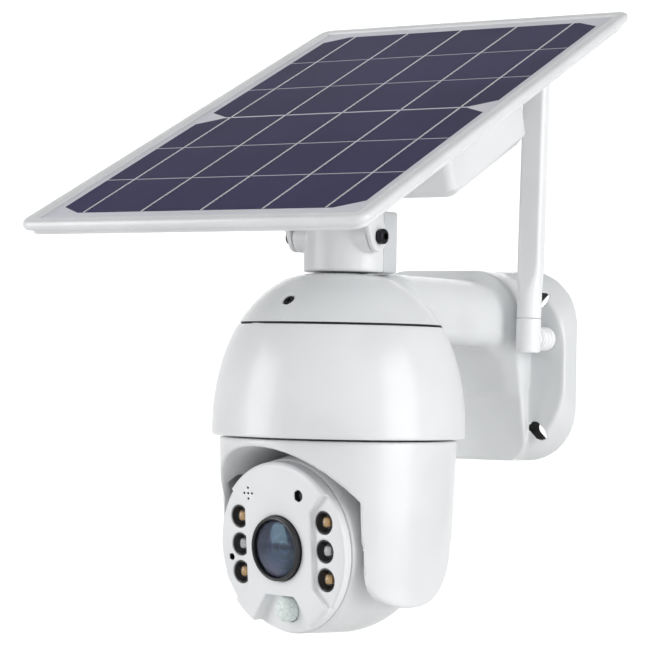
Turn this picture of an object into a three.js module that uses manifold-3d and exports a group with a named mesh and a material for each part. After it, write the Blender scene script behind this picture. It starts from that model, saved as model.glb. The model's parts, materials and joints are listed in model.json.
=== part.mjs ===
// A wall-mounted, solar-powered pan and tilt security camera, in millimetres.
// The origin is the middle of the wall plate's back face, +Y goes into the wall and +Z is up.
// Everything is laid out from the pan axis: the whole camera stands in one group at that axis,
// with its zero height at the dome's lower rim.
import * as THREE from "three";
import { mergeVertices } from "three/addons/utils/BufferGeometryUtils.js";
import Module from "manifold-3d";

const wasm = await Module();
wasm.setup();

// ---------- driving dimensions ----------

const GAP = 0.3; // between pieces that touch
const WALL = 2.6; // moulded housings
const ROUND = 32; // facets round a large turned piece
const FINE = 12; // facets round a small one

// Wall plate, boss and arm
const REACH = 128; // wall to pan axis
const PLATE = { width: 120, height: 95, corner: 26, thick: 12, edge: 3, above_rim: 34.5 };
const SLOT = { width: 6.2, length: 10, inset: 15.5 };
const BOSS = { half: 39.3, top_proud: 34, edge: 3, top_corner: 20, low_corner: 12 };
const ARM = { half: 37, top: 75.9, shoulder: 18, underside: 44, start: 4, wall: 3.2 };

// Dome: a superellipse of revolution, cut level for the mast
const DOME = { radius: 59, height: 78.2, power: 2.27, seam: 51.8, seam_gap: 1.05, hole: 22 };

// Mast between the cap and the panel
const MAST = { radius: 20, parting: 4.3, back: 18.6, top_over_bolt: 12.5, wall: 2.5 };
const BOLT = { y: -5, z: 92.5, radius: 2.8, head: 3.6, head_long: 3.2, boss: 7.5, clear: 0.35 };

// Solar panel, in the frame of the bolts: v runs up the panel, n is its outward normal
const PANEL = {
  tilt: 24.84, opening_width: 165, opening_length: 266, rim: 6.5, corner: 7, thick: 4.4,
  face: 53, middle: 25.8, laminate: 2.2, laminate_down: 1.4, back: 2.4,
};
const BOX = { half: 62, front: 8.8, length: 83.2, floor: 12.9, corner: 8, wall: 2.5 };
const EAR = { thick: 2.5, radius: 7, base_front: -30, plate: 2.5 };
const CELL = { radius: 9.2, length: 65, pitch: 20, count: 4 };

// Yoke, turned by the pan joint
const YOKE = { top: -0.9, radius: 55.2, foot_radius: 52.2, bottom: -75.5, opening: 43.5 };
const ARCH = { top: -4.2, shoulder: -28 };
const HUB = { radius: 16, bore: 8, height: 12 };
const COVER = { half: 24, top: -9, bottom: -36, thick: 2.5 };
const PAN_AT_REST = -12.2;

// Camera head, turned by the tilt joint; d is the distance ahead of the tilt axis
const HEAD = { radius: 43.5, axis: -47.5, wall: 2.4, clear: 1.2, front: 31.2 };
const FACE = { radius: 39.6, d: 38.6, thick: 7.1 };
const STRIP = { half: 20.9, straight: 17, reach_x: 28.5, reach_z: 25, deep: 2.5 };
const NOTCH = { top: -21.7, top_half: 9, low: -33, low_half: 17, deep: 4.4 };
const LENS = { radius: 14.7, front: 41.4, glass: 8.4 };
const LAMP = { x: 27, pitch: 12.9, radius: 5.2, clear: 0.3 };
const PIR = { x: 0.5, z: -28.2, radius: 5.9 };
const LIGHT = { x: 14.2, z: 24.6, radius: 2.4 };
const MIC = { x: -18.1, z: 24.3, pitch: 2.5, hole: 0.6, radius: 2.6 };
const RESET = { x: -33, z: -6.3, radius: 1.5 };
const TILT_AT_REST = 4.8;

// Gears: module 1 on both axes
const MODULE = 1;
const PAN_GEAR = { teeth: 48, pinion: 12, low: 6.2, thick: 4 };
const TILT_GEAR = { teeth: 24, pinion: 10, x: -33, thick: 3.5 };
const GEAR_BACKLASH = 0.3;
const MOTOR = { radius: 14, length: 19, offset: 8 };
const PIVOT = { radius: 4, stub: 5, bush: 6.5, blind: 2.5 };

// Antenna, in the frame of its connector
const ANTENNA = { x: 48.7, y: 96.6, z: 48, lean: 1, radius: 6, below: 7, ring: 9.7, top: 132 };
const BLADE = { width: 12.2, thick: 7.6, corner: 2.4, start: 24 };

// ---------- materials ----------

const plastic = (color, roughness = 0.45) =>
  new THREE.MeshStandardMaterial({ color, roughness, metalness: 0 });
const white = plastic("#e8eaec");
const silver = plastic("#c6c9cd", 0.4);
const grey = plastic("#b4b8bc");
const black = plastic("#101114", 0.4);
const board = plastic("#1d5a38", 0.6);
const cells = plastic("#201d3c", 0.2);
const glass = plastic("#1a1630", 0.05);
const lens_white = plastic("#dfe8e6", 0.3);
const amber = plastic("#c08a3c", 0.3);
const clear = plastic("#c9ccd2", 0.2);
const wrap = plastic("#2b5fa8", 0.5);
const steel = new THREE.MeshStandardMaterial({ color: "#9a9da1", roughness: 0.35, metalness: 1 });
const nylon = plastic("#d9d6cc", 0.6);

// ---------- solids ----------

// A closed geometry as a manifold solid with its faces turned outwards.
function solid(geometry) {
  const bare = geometry.clone();
  bare.deleteAttribute("normal");
  bare.deleteAttribute("uv");
  const merged = mergeVertices(bare, 1e-4);
  const corners = merged.index.array;
  const triangles = [];
  for (let i = 0; i < corners.length; i += 3) {
    const [a, b, c] = corners.slice(i, i + 3);
    if (a !== b && b !== c && c !== a) triangles.push(a, b, c);
  }
  const build = (triVerts) =>
    new wasm.Manifold(
      new wasm.Mesh({
        numProp: 3,
        vertProperties: new Float32Array(merged.attributes.position.array),
        triVerts: new Uint32Array(triVerts),
      }),
    );
  const made = build(triangles);
  return made.volume() < 0 ? build(triangles.reverse()) : made;
}

function geometryOf(manifold) {
  const mesh = manifold.getMesh();
  const positions = new THREE.BufferAttribute(new Float32Array(mesh.vertProperties), 3);
  const indices = new THREE.BufferAttribute(new Uint32Array(mesh.triVerts), 1);
  return new THREE.BufferGeometry().setAttribute("position", positions).setIndex(indices);
}

const join = (...pieces) => geometryOf(pieces.map(solid).reduce((a, b) => a.add(b)));
const cut = (base, ...tools) =>
  geometryOf(tools.map(solid).reduce((a, b) => a.subtract(b), solid(base)));
const common = (a, b) => geometryOf(solid(a).intersect(solid(b)));

// A profile of [radius, height] pairs turned about Z.
function lathe(profile, facets = ROUND) {
  const points = profile.map(([r, z]) => new THREE.Vector2(r, z));
  return new THREE.LatheGeometry(points, facets).rotateX(Math.PI / 2);
}

const disc = (r, low, high, facets = FINE) =>
  lathe([[0, low], [r, low], [r, high], [0, high]], facets);
const ring = (inner, outer, low, high, facets = ROUND) =>
  lathe([[inner, low], [outer, low], [outer, high], [inner, high], [inner, low]], facets);

function box(x0, x1, y0, y1, z0, z1) {
  const middle = [(x0 + x1) / 2, (y0 + y1) / 2, (z0 + z1) / 2];
  return new THREE.BoxGeometry(x1 - x0, y1 - y0, z1 - z0).translate(...middle);
}

// Shapes are drawn in a plane and raised along Z, from low to high, with an optional rounded edge.
function raise(shape, low, high, edge = 0, curve = 8) {
  return new THREE.ExtrudeGeometry(shape, {
    depth: high - low - 2 * edge, curveSegments: curve, steps: 1,
    bevelEnabled: edge > 0, bevelThickness: edge, bevelSize: edge, bevelOffset: -edge,
    bevelSegments: 2,
  }).translate(0, 0, low + edge);
}

const AXES = {
  side: [[0, 1, 0], [0, 0, 1], [1, 0, 0]], // drawn in (Y, Z), raised along X
  front: [[1, 0, 0], [0, 0, 1], [0, -1, 0]], // drawn in (X, Z), raised along -Y
};

function facing(geometry, name) {
  const basis = AXES[name].map((axis) => new THREE.Vector3(...axis));
  return geometry.applyMatrix4(new THREE.Matrix4().makeBasis(...basis));
}

const alongX = (geometry) => geometry.rotateY(Math.PI / 2);
const ahead = (geometry) => geometry.rotateX(Math.PI / 2); // Z becomes -Y, Y becomes Z
const at = (geometry, x, y, z) => geometry.translate(x, y, z);

function polygon(points) {
  return new THREE.Shape(points.map(([x, y]) => new THREE.Vector2(x, y)));
}

function roundedRectangle(width, height, radius, x = 0, y = 0) {
  const [w, h] = [width / 2, height / 2];
  const shape = new THREE.Shape();
  shape.moveTo(x + w, y - h + radius);
  shape.lineTo(x + w, y + h - radius);
  shape.absarc(x + w - radius, y + h - radius, radius, 0, Math.PI / 2);
  shape.lineTo(x - w + radius, y + h);
  shape.absarc(x - w + radius, y + h - radius, radius, Math.PI / 2, Math.PI);
  shape.lineTo(x - w, y - h + radius);
  shape.absarc(x - w + radius, y - h + radius, radius, Math.PI, 1.5 * Math.PI);
  shape.lineTo(x + w - radius, y - h);
  shape.absarc(x + w - radius, y - h + radius, radius, 1.5 * Math.PI, 2 * Math.PI);
  return shape;
}

// A spur gear outline with straight-sided teeth, one of them pointing along the phase angle.
function gearShape(teeth, phase, bore) {
  const pitch = (MODULE * teeth) / 2;
  const [tip, root] = [pitch + 0.9 * MODULE, pitch - 1.2 * MODULE];
  const step = (2 * Math.PI) / teeth;
  const points = [];
  for (let i = 0; i < teeth; i++) {
    for (const [share, r] of [[-0.32, root], [-0.12, tip], [0.12, tip], [0.32, root]]) {
      const angle = phase + (i + share) * step;
      points.push([r * Math.cos(angle), r * Math.sin(angle)]);
    }
  }
  const shape = polygon(points);
  if (bore > 0) shape.holes.push(new THREE.Path().absarc(0, 0, bore, 0, 2 * Math.PI, true));
  return shape;
}

const radians = THREE.MathUtils.degToRad;

function node(group, name, geometry, material) {
  const mesh = new THREE.Mesh(geometry, material);
  mesh.name = name;
  group.add(mesh);
}

function frameAt(parent, x, y, z) {
  const group = new THREE.Group();
  group.position.set(x, y, z);
  parent.add(group);
  return group;
}

// ---------- dome and upper housing ----------

function superellipse(z, radius, height) {
  return radius * (1 - (z / height) ** DOME.power) ** (1 / DOME.power);
}
const domeRadius = (z, out = 0) => superellipse(z, DOME.radius + out, DOME.height + out);
const between = (low, high, count) =>
  Array.from({ length: count + 1 }, (_, i) => low + ((high - low) * i) / count);

const dome_top = DOME.seam - DOME.seam_gap / 2;
const cap_bottom = DOME.seam + DOME.seam_gap / 2;
const mast_seat = ARM.top;

function domeShell() {
  const outer = between(1, dome_top, 6).map((z) => [domeRadius(z), z]);
  const inner = between(WALL, dome_top, 5).map((z) => [domeRadius(z, -WALL), z]).reverse();
  const floor = [[DOME.hole, WALL], [DOME.hole, 0], [DOME.radius - 1, 0]];
  return lathe([floor[2], ...outer, ...inner, ...floor]);
}

function capOuter() {
  const side = between(cap_bottom, mast_seat, 6).map((z) => [domeRadius(z), z]);
  return lathe([[0, cap_bottom], ...side, [0, mast_seat]]);
}

function capHollow() {
  const top = mast_seat - WALL;
  const side = between(cap_bottom, top, 4).map((z) => [domeRadius(z, -WALL), z]);
  return lathe([[0, cap_bottom - 1], [side[0][0], cap_bottom - 1], ...side, [0, top]]);
}

// The room that the dome shell takes below the seam, with clearance, kept free of the arm.
function domeRoom() {
  const clear = 0.6;
  const side = between(0, cap_bottom, 6).map((z) => [domeRadius(z, clear), z]);
  const low = -PLATE.height;
  return lathe([[0, low], [DOME.radius + clear, low], ...side, [0, cap_bottom]]);
}

const plate_low = PLATE.above_rim - PLATE.height / 2;
const plate_high = PLATE.above_rim + PLATE.height / 2;
const plate_front = REACH - PLATE.thick;
const boss_high = plate_high - 1;
const bossFront = (z) =>
  plate_front - ((z - plate_low) / (plate_high - plate_low)) * (BOSS.top_proud - PLATE.thick);

function wallPlate() {
  const outline = roundedRectangle(PLATE.width, PLATE.height, PLATE.corner, 0, PLATE.above_rim);
  const block = facing(raise(outline, 0, 2 * PLATE.thick, PLATE.edge, 5), "front");
  at(block, 0, REACH + PLATE.thick, 0);
  const wall = box(-PLATE.width, PLATE.width, REACH, 2 * REACH, -REACH, REACH);
  return cut(block, wall);
}

function slots() {
  const shape = roundedRectangle(SLOT.length, SLOT.width, SLOT.width / 2 - 0.01);
  const made = [];
  for (const x of [-1, 1]) {
    for (const z of [-1, 1]) {
      const slot = raise(shape, -REACH - 1, -plate_front + 1, 0, 4);
      slot.rotateZ(x * z * (Math.PI / 4));
      const middle_x = x * (PLATE.width / 2 - SLOT.inset);
      const middle_z = PLATE.above_rim + z * (PLATE.height / 2 - SLOT.inset);
      made.push(at(facing(slot, "front"), middle_x, 0, middle_z));
    }
  }
  return made;
}

// The boss from the front, with wider round corners above than below; drawn in (X, Z).
function bossOutline() {
  const { half, top_corner: r, low_corner: q } = BOSS;
  const shape = new THREE.Shape();
  shape.moveTo(half, plate_low + q);
  shape.lineTo(half, boss_high - r);
  shape.absarc(half - r, boss_high - r, r, 0, Math.PI / 2);
  shape.lineTo(-half + r, boss_high);
  shape.absarc(-half + r, boss_high - r, r, Math.PI / 2, Math.PI);
  shape.lineTo(-half, plate_low + q);
  shape.absarc(-half + q, plate_low + q, q, Math.PI, 1.5 * Math.PI);
  shape.lineTo(half - q, plate_low);
  shape.absarc(half - q, plate_low + q, q, 1.5 * Math.PI, 2 * Math.PI);
  return shape;
}

function boss() {
  const back = REACH - 1;
  const side = polygon([
    [back, plate_low], [bossFront(plate_low), plate_low], [bossFront(boss_high), boss_high],
    [back, boss_high],
  ]);
  const wedge = at(facing(raise(side, 0, 2 * BOSS.half, BOSS.edge), "side"), -BOSS.half, 0, 0);
  const outline = bossOutline();
  return common(wedge, at(facing(raise(outline, 0, 2 * REACH, 0, 6), "front"), 0, 1.5 * REACH, 0));
}

// The arm's section is square below and has wide round shoulders; drawn in (X, Z).
function armSection(half, top, shoulder, bottom) {
  const shape = new THREE.Shape();
  shape.moveTo(-half, bottom);
  shape.lineTo(half, bottom);
  shape.lineTo(half, top - shoulder);
  shape.absarc(half - shoulder, top - shoulder, shoulder, 0, Math.PI / 2);
  shape.lineTo(-half + shoulder, top);
  shape.absarc(-half + shoulder, top - shoulder, shoulder, Math.PI / 2, Math.PI);
  return shape;
}

// The arm's outline from the side, with the underside sweeping down into the boss; (Y, Z).
function armOutline() {
  const sweep_end = 22;
  const shape = new THREE.Shape();
  shape.moveTo(ARM.start, ARM.underside);
  shape.lineTo(REACH - 46, ARM.underside - 0.5);
  shape.quadraticCurveTo(
    REACH - 24, ARM.underside - 1, bossFront(sweep_end), sweep_end,
  );
  shape.lineTo(REACH - 2, sweep_end);
  shape.lineTo(REACH - 2, ARM.top + 1);
  shape.lineTo(ARM.start, ARM.top + 1);
  return shape;
}

function arm() {
  const section = armSection(ARM.half, ARM.top, ARM.shoulder, 0);
  const along = at(facing(raise(section, 0, 2 * REACH, 0, 5), "front"), 0, 1.5 * REACH, 0);
  const side = raise(armOutline(), -2 * ARM.half, 2 * ARM.half, 0, 6);
  return common(along, facing(side, "side"));
}

// The channel from the cap to the back of the plate, with a web left at the plate's middle.
function armChannel() {
  const w = ARM.wall;
  const web = { front: REACH - 6, low: PLATE.above_rim - 8, high: PLATE.above_rim + 8 };
  const low = plate_low + 5;
  const past = REACH + 2;
  const outline = polygon([
    [DOME.radius - 9, ARM.underside + 2 * w], [REACH - 40, ARM.underside + w],
    [REACH - 25, ARM.underside - 2], [bossFront(25) + w, 25], [bossFront(low) + w, low],
    [past, low], [past, web.low], [web.front, web.low], [web.front, web.high],
    [past, web.high], [past, ARM.top], [DOME.radius - 9, ARM.top],
  ]);
  const section = armSection(ARM.half - w, ARM.top - w, ARM.shoulder - w, 2 * plate_low);
  const along = at(facing(raise(section, 0, 2 * REACH, 0, 5), "front"), 0, 1.5 * REACH, 0);
  const rear = common(along, facing(raise(outline, -ARM.half, ARM.half), "side"));
  const neck_half = ARM.half - 6;
  const neck = box(-neck_half, neck_half, 25, DOME.radius, cap_bottom + w, ARM.top - 3 * w);
  return join(rear, neck);
}

const CAP_SCREW = { z: 62.6, radius: 2.6, deep: 2.2, turn: -6.4 };

// The screw's place on the cap, along the cap's own slope.
function onCap(geometry) {
  const r = domeRadius(CAP_SCREW.z);
  const slope = Math.atan2(domeRadius(CAP_SCREW.z - 1) - domeRadius(CAP_SCREW.z + 1), 2);
  return geometry.rotateX(Math.PI / 2 - slope).translate(0, -r, CAP_SCREW.z)
    .rotateZ(radians(CAP_SCREW.turn));
}

function upperHousing() {
  const body = join(capOuter(), arm(), boss(), wallPlate());
  const recess = onCap(disc(CAP_SCREW.radius + GAP, -CAP_SCREW.deep, 4, FINE));
  return cut(body, domeRoom(), capHollow(), armChannel(), recess, ...slots());
}

function capScrew() {
  const head = disc(CAP_SCREW.radius, -CAP_SCREW.deep + GAP, -0.7, FINE);
  const cross = box(-1.5, 1.5, -0.35, 0.35, -1.4, 1);
  const other = box(-0.35, 0.35, -1.5, 1.5, -1.4, 1);
  return onCap(cut(head, cross, other));
}

// ---------- mast ----------

function mastSection(front, radius, back) {
  const shape = new THREE.Shape();
  if (front) {
    shape.absarc(0, MAST.parting, radius, Math.PI, 2 * Math.PI);
  } else {
    const low = MAST.parting + GAP;
    const r = 3;
    shape.moveTo(-radius, low);
    shape.lineTo(radius, low);
    shape.lineTo(radius, back - r);
    shape.absarc(radius - r, back - r, r, 0, Math.PI / 2);
    shape.lineTo(-radius + r, back);
    shape.absarc(-radius + r, back - r, r, Math.PI / 2, Math.PI);
  }
  return shape;
}

function mastShell(front) {
  const low = mast_seat + 0.4;
  const high = BOLT.z + MAST.top_over_bolt;
  const w = MAST.wall;
  const body = raise(mastSection(front, MAST.radius, MAST.back), low, high, 0, 7);
  const inside = raise(
    mastSection(front, MAST.radius - w, MAST.back - w), low - 1, high - w, 0, 7,
  );
  const step = front ? 1 : -1;
  const open = at(inside.clone(), 0, step, 0);
  const shell = cut(body, inside, open);
  if (!front) return shell;
  const bosses = [-1, 1].map((side) => {
    const [near, far] = [MAST.radius - 8, MAST.radius + 0.1].map((x) => side * x);
    const turned = alongX(disc(BOLT.boss, Math.min(near, far), Math.max(near, far), 18));
    return at(turned, 0, BOLT.y, BOLT.z);
  });
  const hole = alongX(disc(BOLT.radius + BOLT.clear, -2 * MAST.radius, 2 * MAST.radius));
  return cut(join(shell, ...bosses), at(hole, 0, BOLT.y, BOLT.z));
}

const ear_inner = MAST.radius + 0.5;
const ear_outer = ear_inner + EAR.thick;

function mastBolt(side) {
  const start = MAST.radius - 7;
  const under_head = ear_outer + 0.4;
  const end = under_head + BOLT.head_long;
  const bolt = lathe([
    [0, start], [BOLT.radius, start], [BOLT.radius, under_head], [BOLT.head, under_head],
    [BOLT.head, end - 0.5], [BOLT.head - 0.5, end], [0, end],
  ], FINE);
  const socket = new THREE.CylinderGeometry(1.6, 1.6, 3, 6).rotateX(Math.PI / 2)
    .translate(0, 0, end);
  const turned = alongX(cut(bolt, socket));
  if (side < 0) turned.rotateZ(Math.PI);
  return at(turned, 0, BOLT.y, BOLT.z);
}

// ---------- solar panel ----------

function panelFrame() {
  const { opening_width: w, opening_length: l, rim } = PANEL;
  const outline = roundedRectangle(w + 2 * rim, l + 2 * rim, PANEL.corner, 0, PANEL.middle);
  outline.holes.push(roundedRectangle(w, l, 2.5, 0, PANEL.middle));
  return raise(outline, PANEL.face - PANEL.thick, PANEL.face, 1.5, 3);
}

function solarLaminate() {
  const top = PANEL.face - PANEL.laminate_down;
  const width = PANEL.opening_width - 2 * GAP;
  const length = PANEL.opening_length - 2 * GAP;
  return raise(roundedRectangle(width, length, 2, 0, PANEL.middle), top - PANEL.laminate, top, 0, 2);
}

const back_high = PANEL.face - PANEL.thick - GAP;
const back_low = back_high - PANEL.back;

function panelBack() {
  const width = PANEL.opening_width + PANEL.rim;
  const length = PANEL.opening_length + PANEL.rim;
  return raise(roundedRectangle(width, length, 5, 0, PANEL.middle), back_low, back_high, 0, 3);
}

const box_middle = BOX.front + BOX.length / 2;

function batteryBox() {
  const top = back_low - GAP;
  const w = BOX.wall;
  const outline = roundedRectangle(2 * BOX.half, BOX.length, BOX.corner, 0, box_middle);
  const inside = roundedRectangle(
    2 * (BOX.half - w), BOX.length - 2 * w, BOX.corner - w, 0, box_middle,
  );
  const body = raise(outline, BOX.floor, top + 10, 2, 3);
  return cut(
    body,
    raise(inside, BOX.floor + w, top + 20, 0, 3),
    box(-100, 100, -100, 200, top, top + 30),
  );
}

function batteryCell(index) {
  const x = (index - (CELL.count - 1) / 2) * CELL.pitch;
  const profile = [
    [0, 0], [CELL.radius - 0.6, 0], [CELL.radius, 0.6], [CELL.radius, CELL.length - 1.6],
    [CELL.radius - 1, CELL.length - 0.8], [3.2, CELL.length - 0.8], [3.2, CELL.length],
    [0, CELL.length],
  ];
  const cell = lathe(profile, 12).rotateX(-Math.PI / 2);
  const height = BOX.floor + BOX.wall + GAP + CELL.radius;
  return at(cell, x, box_middle - CELL.length / 2, height);
}

function chargeBoard() {
  const low = BOX.floor + BOX.wall + 2 * CELL.radius + 4;
  return raise(roundedRectangle(64, 42, 2, 0, box_middle), low, low + 1.6, 0, 3);
}

// Two ears hang from a plate under the panel and close round the bolts.
function panelBracket() {
  const top = back_low - GAP;
  const under = top - EAR.plate;
  const rear = BOX.front - 0.5;
  const ear = new THREE.Shape();
  ear.moveTo(-EAR.radius, 0);
  ear.absarc(0, 0, EAR.radius, Math.PI, 2 * Math.PI);
  ear.lineTo(EAR.radius, top);
  ear.lineTo(EAR.base_front + 4, top);
  ear.lineTo(EAR.base_front + 4, under);
  ear.lineTo(-EAR.radius, under - 16);
  const sides = [-1, 1].map((side) => {
    const raised = facing(raise(ear, 0, EAR.thick, 0, 8), "side");
    return at(raised, side < 0 ? -ear_outer : ear_inner, 0, 0);
  });
  const plate = box(-ear_outer, ear_outer, EAR.base_front, rear, under, top);
  const hole = alongX(disc(BOLT.radius + BOLT.clear, -2 * ear_outer, 2 * ear_outer));
  return cut(join(plate, ...sides), hole);
}

// ---------- pan drive and what is in the dome ----------

const pan_gear_high = PAN_GEAR.low + PAN_GEAR.thick;
const pan_centres = (MODULE * (PAN_GEAR.teeth + PAN_GEAR.pinion)) / 2 + GEAR_BACKLASH;

function panGear() {
  const shape = gearShape(PAN_GEAR.teeth, Math.PI / 2 - radians(PAN_AT_REST), HUB.radius + GAP);
  return raise(shape, PAN_GEAR.low, pan_gear_high, 0, 12);
}

function panPinion() {
  const half_tooth = Math.PI / PAN_GEAR.pinion;
  const gear = raise(
    gearShape(PAN_GEAR.pinion, -Math.PI / 2 + half_tooth, 0), PAN_GEAR.low, pan_gear_high,
  );
  return join(gear, disc(2, PAN_GEAR.low + 1, pan_gear_high + 2, 12));
}

function motor(length) {
  const can = disc(MOTOR.radius, 0, length, 20);
  const ears = raise(roundedRectangle(2 * MOTOR.radius + 14, 7, 3.4), 0.2, 1.2, 0, 4);
  const boss = at(disc(4.5, -1.6, 1, 16), 0, MOTOR.offset, 0);
  return join(can, ears, boss);
}

function panMotor() {
  const low = pan_gear_high + 2 + GAP + 1.6;
  return at(motor(MOTOR.length), 0, pan_centres - MOTOR.offset, low);
}

function mainBoard() {
  const low = pan_gear_high + MOTOR.length + 8;
  const sheet = raise(roundedRectangle(74, 54, 4), low, low + 1.6, 0, 3);
  const chips = [
    box(-12, 4, -8, 8, low + 1.5, low + 3.4), box(12, 22, -14, -4, low + 1.5, low + 3),
    box(-30, -20, 6, 20, low + 1.5, low + 4.5), box(14, 30, 10, 18, low + 1.5, low + 6),
  ];
  return join(sheet, ...chips);
}

function speaker() {
  const low = WALL + GAP;
  const profile = [
    [0, low], [13, low], [14, low + 1], [14, low + 2], [9, low + 5], [9, low + 7], [0, low + 7],
  ];
  return at(lathe(profile, 18), -28, -29, 0);
}

// ---------- yoke ----------

function yokeOuter() {
  return lathe([
    [0, YOKE.top], [YOKE.radius - 0.6, YOKE.top], [YOKE.radius, YOKE.top - 0.8],
    [53.4, HEAD.axis], [YOKE.foot_radius, YOKE.bottom - 1], [0, YOKE.bottom - 1],
  ], 40);
}

// The yoke from the side: straight in front, round lobes below, higher at the back; (Y, Z).
function yokeOutline() {
  const far = DOME.radius + 5;
  const lobe_front = -30.6;
  const shape = new THREE.Shape();
  shape.moveTo(-far, 5);
  shape.lineTo(-far, HEAD.axis - 4.5);
  shape.lineTo(lobe_front, HEAD.axis - 4.5);
  shape.quadraticCurveTo(lobe_front, YOKE.bottom, -4, YOKE.bottom);
  shape.bezierCurveTo(18, YOKE.bottom, 27, HEAD.axis - 12, 36, HEAD.axis + 1);
  shape.lineTo(far, HEAD.axis + 7);
  shape.lineTo(far, 5);
  return shape;
}

function archOutline() {
  const half = YOKE.opening;
  const low = 2 * YOKE.bottom;
  const shape = new THREE.Shape();
  shape.moveTo(-half, low);
  shape.lineTo(half, low);
  shape.lineTo(half, ARCH.shoulder);
  shape.bezierCurveTo(half - 6, ARCH.shoulder + 10, 25, ARCH.top, 0, ARCH.top);
  shape.bezierCurveTo(-25, ARCH.top, -half + 6, ARCH.shoulder + 10, -half, ARCH.shoulder);
  return shape;
}

function ball(radius) {
  const arc = between(-90, 90, 14).map((angle) => {
    const a = radians(angle);
    return [radius * Math.cos(a), radius * Math.sin(a)];
  });
  arc[0][0] = 0;
  arc[arc.length - 1][0] = 0;
  return at(lathe(arc, 30), 0, 0, HEAD.axis);
}

const lobe_hole_end = YOKE.foot_radius - PIVOT.blind;

function coverWindow(grow) {
  const half = COVER.half + grow;
  return box(-half, half, 30, 70, COVER.bottom - grow, COVER.top + grow);
}

function yokeShell() {
  const body = common(
    yokeOuter(), facing(raise(yokeOutline(), -70, 70, 0, 7), "side"),
  );
  const hub = ring(HUB.bore, HUB.radius, YOKE.top - 1, HUB.height, 24);
  const arch = facing(raise(archOutline(), 0, 70, 0, 7), "front");
  const between_lobes = box(
    -YOKE.opening, YOKE.opening, -70, 70, 2 * YOKE.bottom, HEAD.axis,
  );
  const bush_hole = alongX(disc(PIVOT.bush + GAP, 30, lobe_hole_end, FINE));
  const stub_hole = alongX(disc(PIVOT.stub + GAP, -lobe_hole_end, -30, FINE));
  return cut(
    join(body, hub),
    ball(HEAD.radius + HEAD.clear),
    arch,
    between_lobes,
    disc(HUB.bore, -20, HUB.height + 1, 24),
    at(bush_hole, 0, 0, HEAD.axis),
    at(stub_hole, 0, 0, HEAD.axis),
    coverWindow(GAP),
  );
}

function yokeRearCover() {
  const band = lathe([
    [YOKE.radius - 1 - COVER.thick, 0], [YOKE.radius - 0.1, 0], [53.4, HEAD.axis],
    [53.4 - COVER.thick, HEAD.axis], [YOKE.radius - 1 - COVER.thick, 0],
  ], 40);
  return common(band, coverWindow(0));
}

function tiltBush() {
  const low = HEAD.radius + HEAD.clear + 0.4;
  const bush = ring(PIVOT.radius + GAP, PIVOT.bush, low, lobe_hole_end - GAP, 16);
  return at(alongX(bush), 0, 0, HEAD.axis);
}

// ---------- camera head, in its own frame ----------

const SHELL_NOSE = [[41.6, 20], [40.3, 27], [39.9, HEAD.front]];

function headShell() {
  const blend = 12;
  const outer = between(-90, blend, 8).map((angle) => {
    const a = radians(angle);
    return [HEAD.radius * Math.cos(a), HEAD.radius * Math.sin(a)];
  });
  outer[0][0] = 0;
  const inner_radius = HEAD.radius - HEAD.wall;
  const inner = between(-90, blend, 8).map((angle) => {
    const a = radians(angle);
    return [inner_radius * Math.cos(a), inner_radius * Math.sin(a)];
  });
  inner[0][0] = 0;
  const nose_inner = SHELL_NOSE.map(([r, d]) => [r - HEAD.wall, d]);
  const profile = [...outer, ...SHELL_NOSE, ...nose_inner.reverse(), ...inner.reverse()];
  const shell = ahead(lathe(profile, ROUND));
  const pin_hole = alongX(disc(PIVOT.radius + GAP, 30, 60));
  const stub_hole = alongX(disc(PIVOT.stub + GAP, -60, -30));
  return cut(shell, pin_hole, stub_hole);
}

function holeAt(x, z, radius, facets = FINE) {
  return at(ahead(disc(radius, HEAD.front - 2, FACE.d + 2, facets)), x, 0, z);
}

// The strip beside the raised middle band, open to the rim; drawn in (X, Z).
function stripCut(side) {
  const { half, straight, reach_x, reach_z } = STRIP;
  const far = FACE.radius + 2;
  const points = [
    [far, reach_z], [reach_x, reach_z], [half, straight], [half, -straight],
    [reach_x, -reach_z], [far, -reach_z],
  ].map(([x, z]) => [side * x, z]);
  const low = FACE.d - STRIP.deep;
  return facing(raise(polygon(side > 0 ? points : points.reverse()), low, FACE.d + 5), "front");
}

function notchCut() {
  const far = -FACE.radius - 4;
  const spread = (NOTCH.low_half - NOTCH.top_half) / (NOTCH.top - NOTCH.low);
  const wide = NOTCH.top_half + spread * (NOTCH.top - far);
  const outline = polygon([
    [-NOTCH.top_half, NOTCH.top], [-wide, far], [wide, far], [NOTCH.top_half, NOTCH.top],
  ]);
  return facing(raise(outline, FACE.d - NOTCH.deep, FACE.d + 5), "front");
}

const LAMPS = [];
for (const side of ["left", "right"]) {
  for (const [row, name] of ["upper", "middle", "lower"].entries()) {
    const x = side === "left" ? -LAMP.x : LAMP.x;
    LAMPS.push({ name: `lamp_${side}_${name}`, x, z: (1 - row) * LAMP.pitch, row });
  }
}

function facePlate() {
  const { radius: r, d } = FACE;
  const low = d - FACE.thick;
  const plate = ahead(lathe([
    [0, low], [r - 0.3, low], [r, low + 1], [r - 0.3, d - 1.4], [r - 1, d - 0.4],
    [r - 2, d], [0, d],
  ]));
  const mic_holes = [[0, 0], [1, 0], [-1, 0], [0, 1], [0, -1]].map(([x, z]) =>
    holeAt(MIC.x + x * MIC.pitch, MIC.z + z * MIC.pitch, MIC.hole, 8),
  );
  return cut(
    plate,
    stripCut(1),
    stripCut(-1),
    notchCut(),
    holeAt(0, 0, LENS.radius + GAP, 28),
    holeAt(PIR.x, PIR.z, PIR.radius + GAP),
    holeAt(LIGHT.x, LIGHT.z, LIGHT.radius + GAP, 16),
    holeAt(RESET.x, RESET.z, RESET.radius, 12),
    ...LAMPS.map(({ x, z }) => holeAt(x, z, LAMP.radius + LAMP.clear)),
    ...mic_holes,
  );
}

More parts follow.
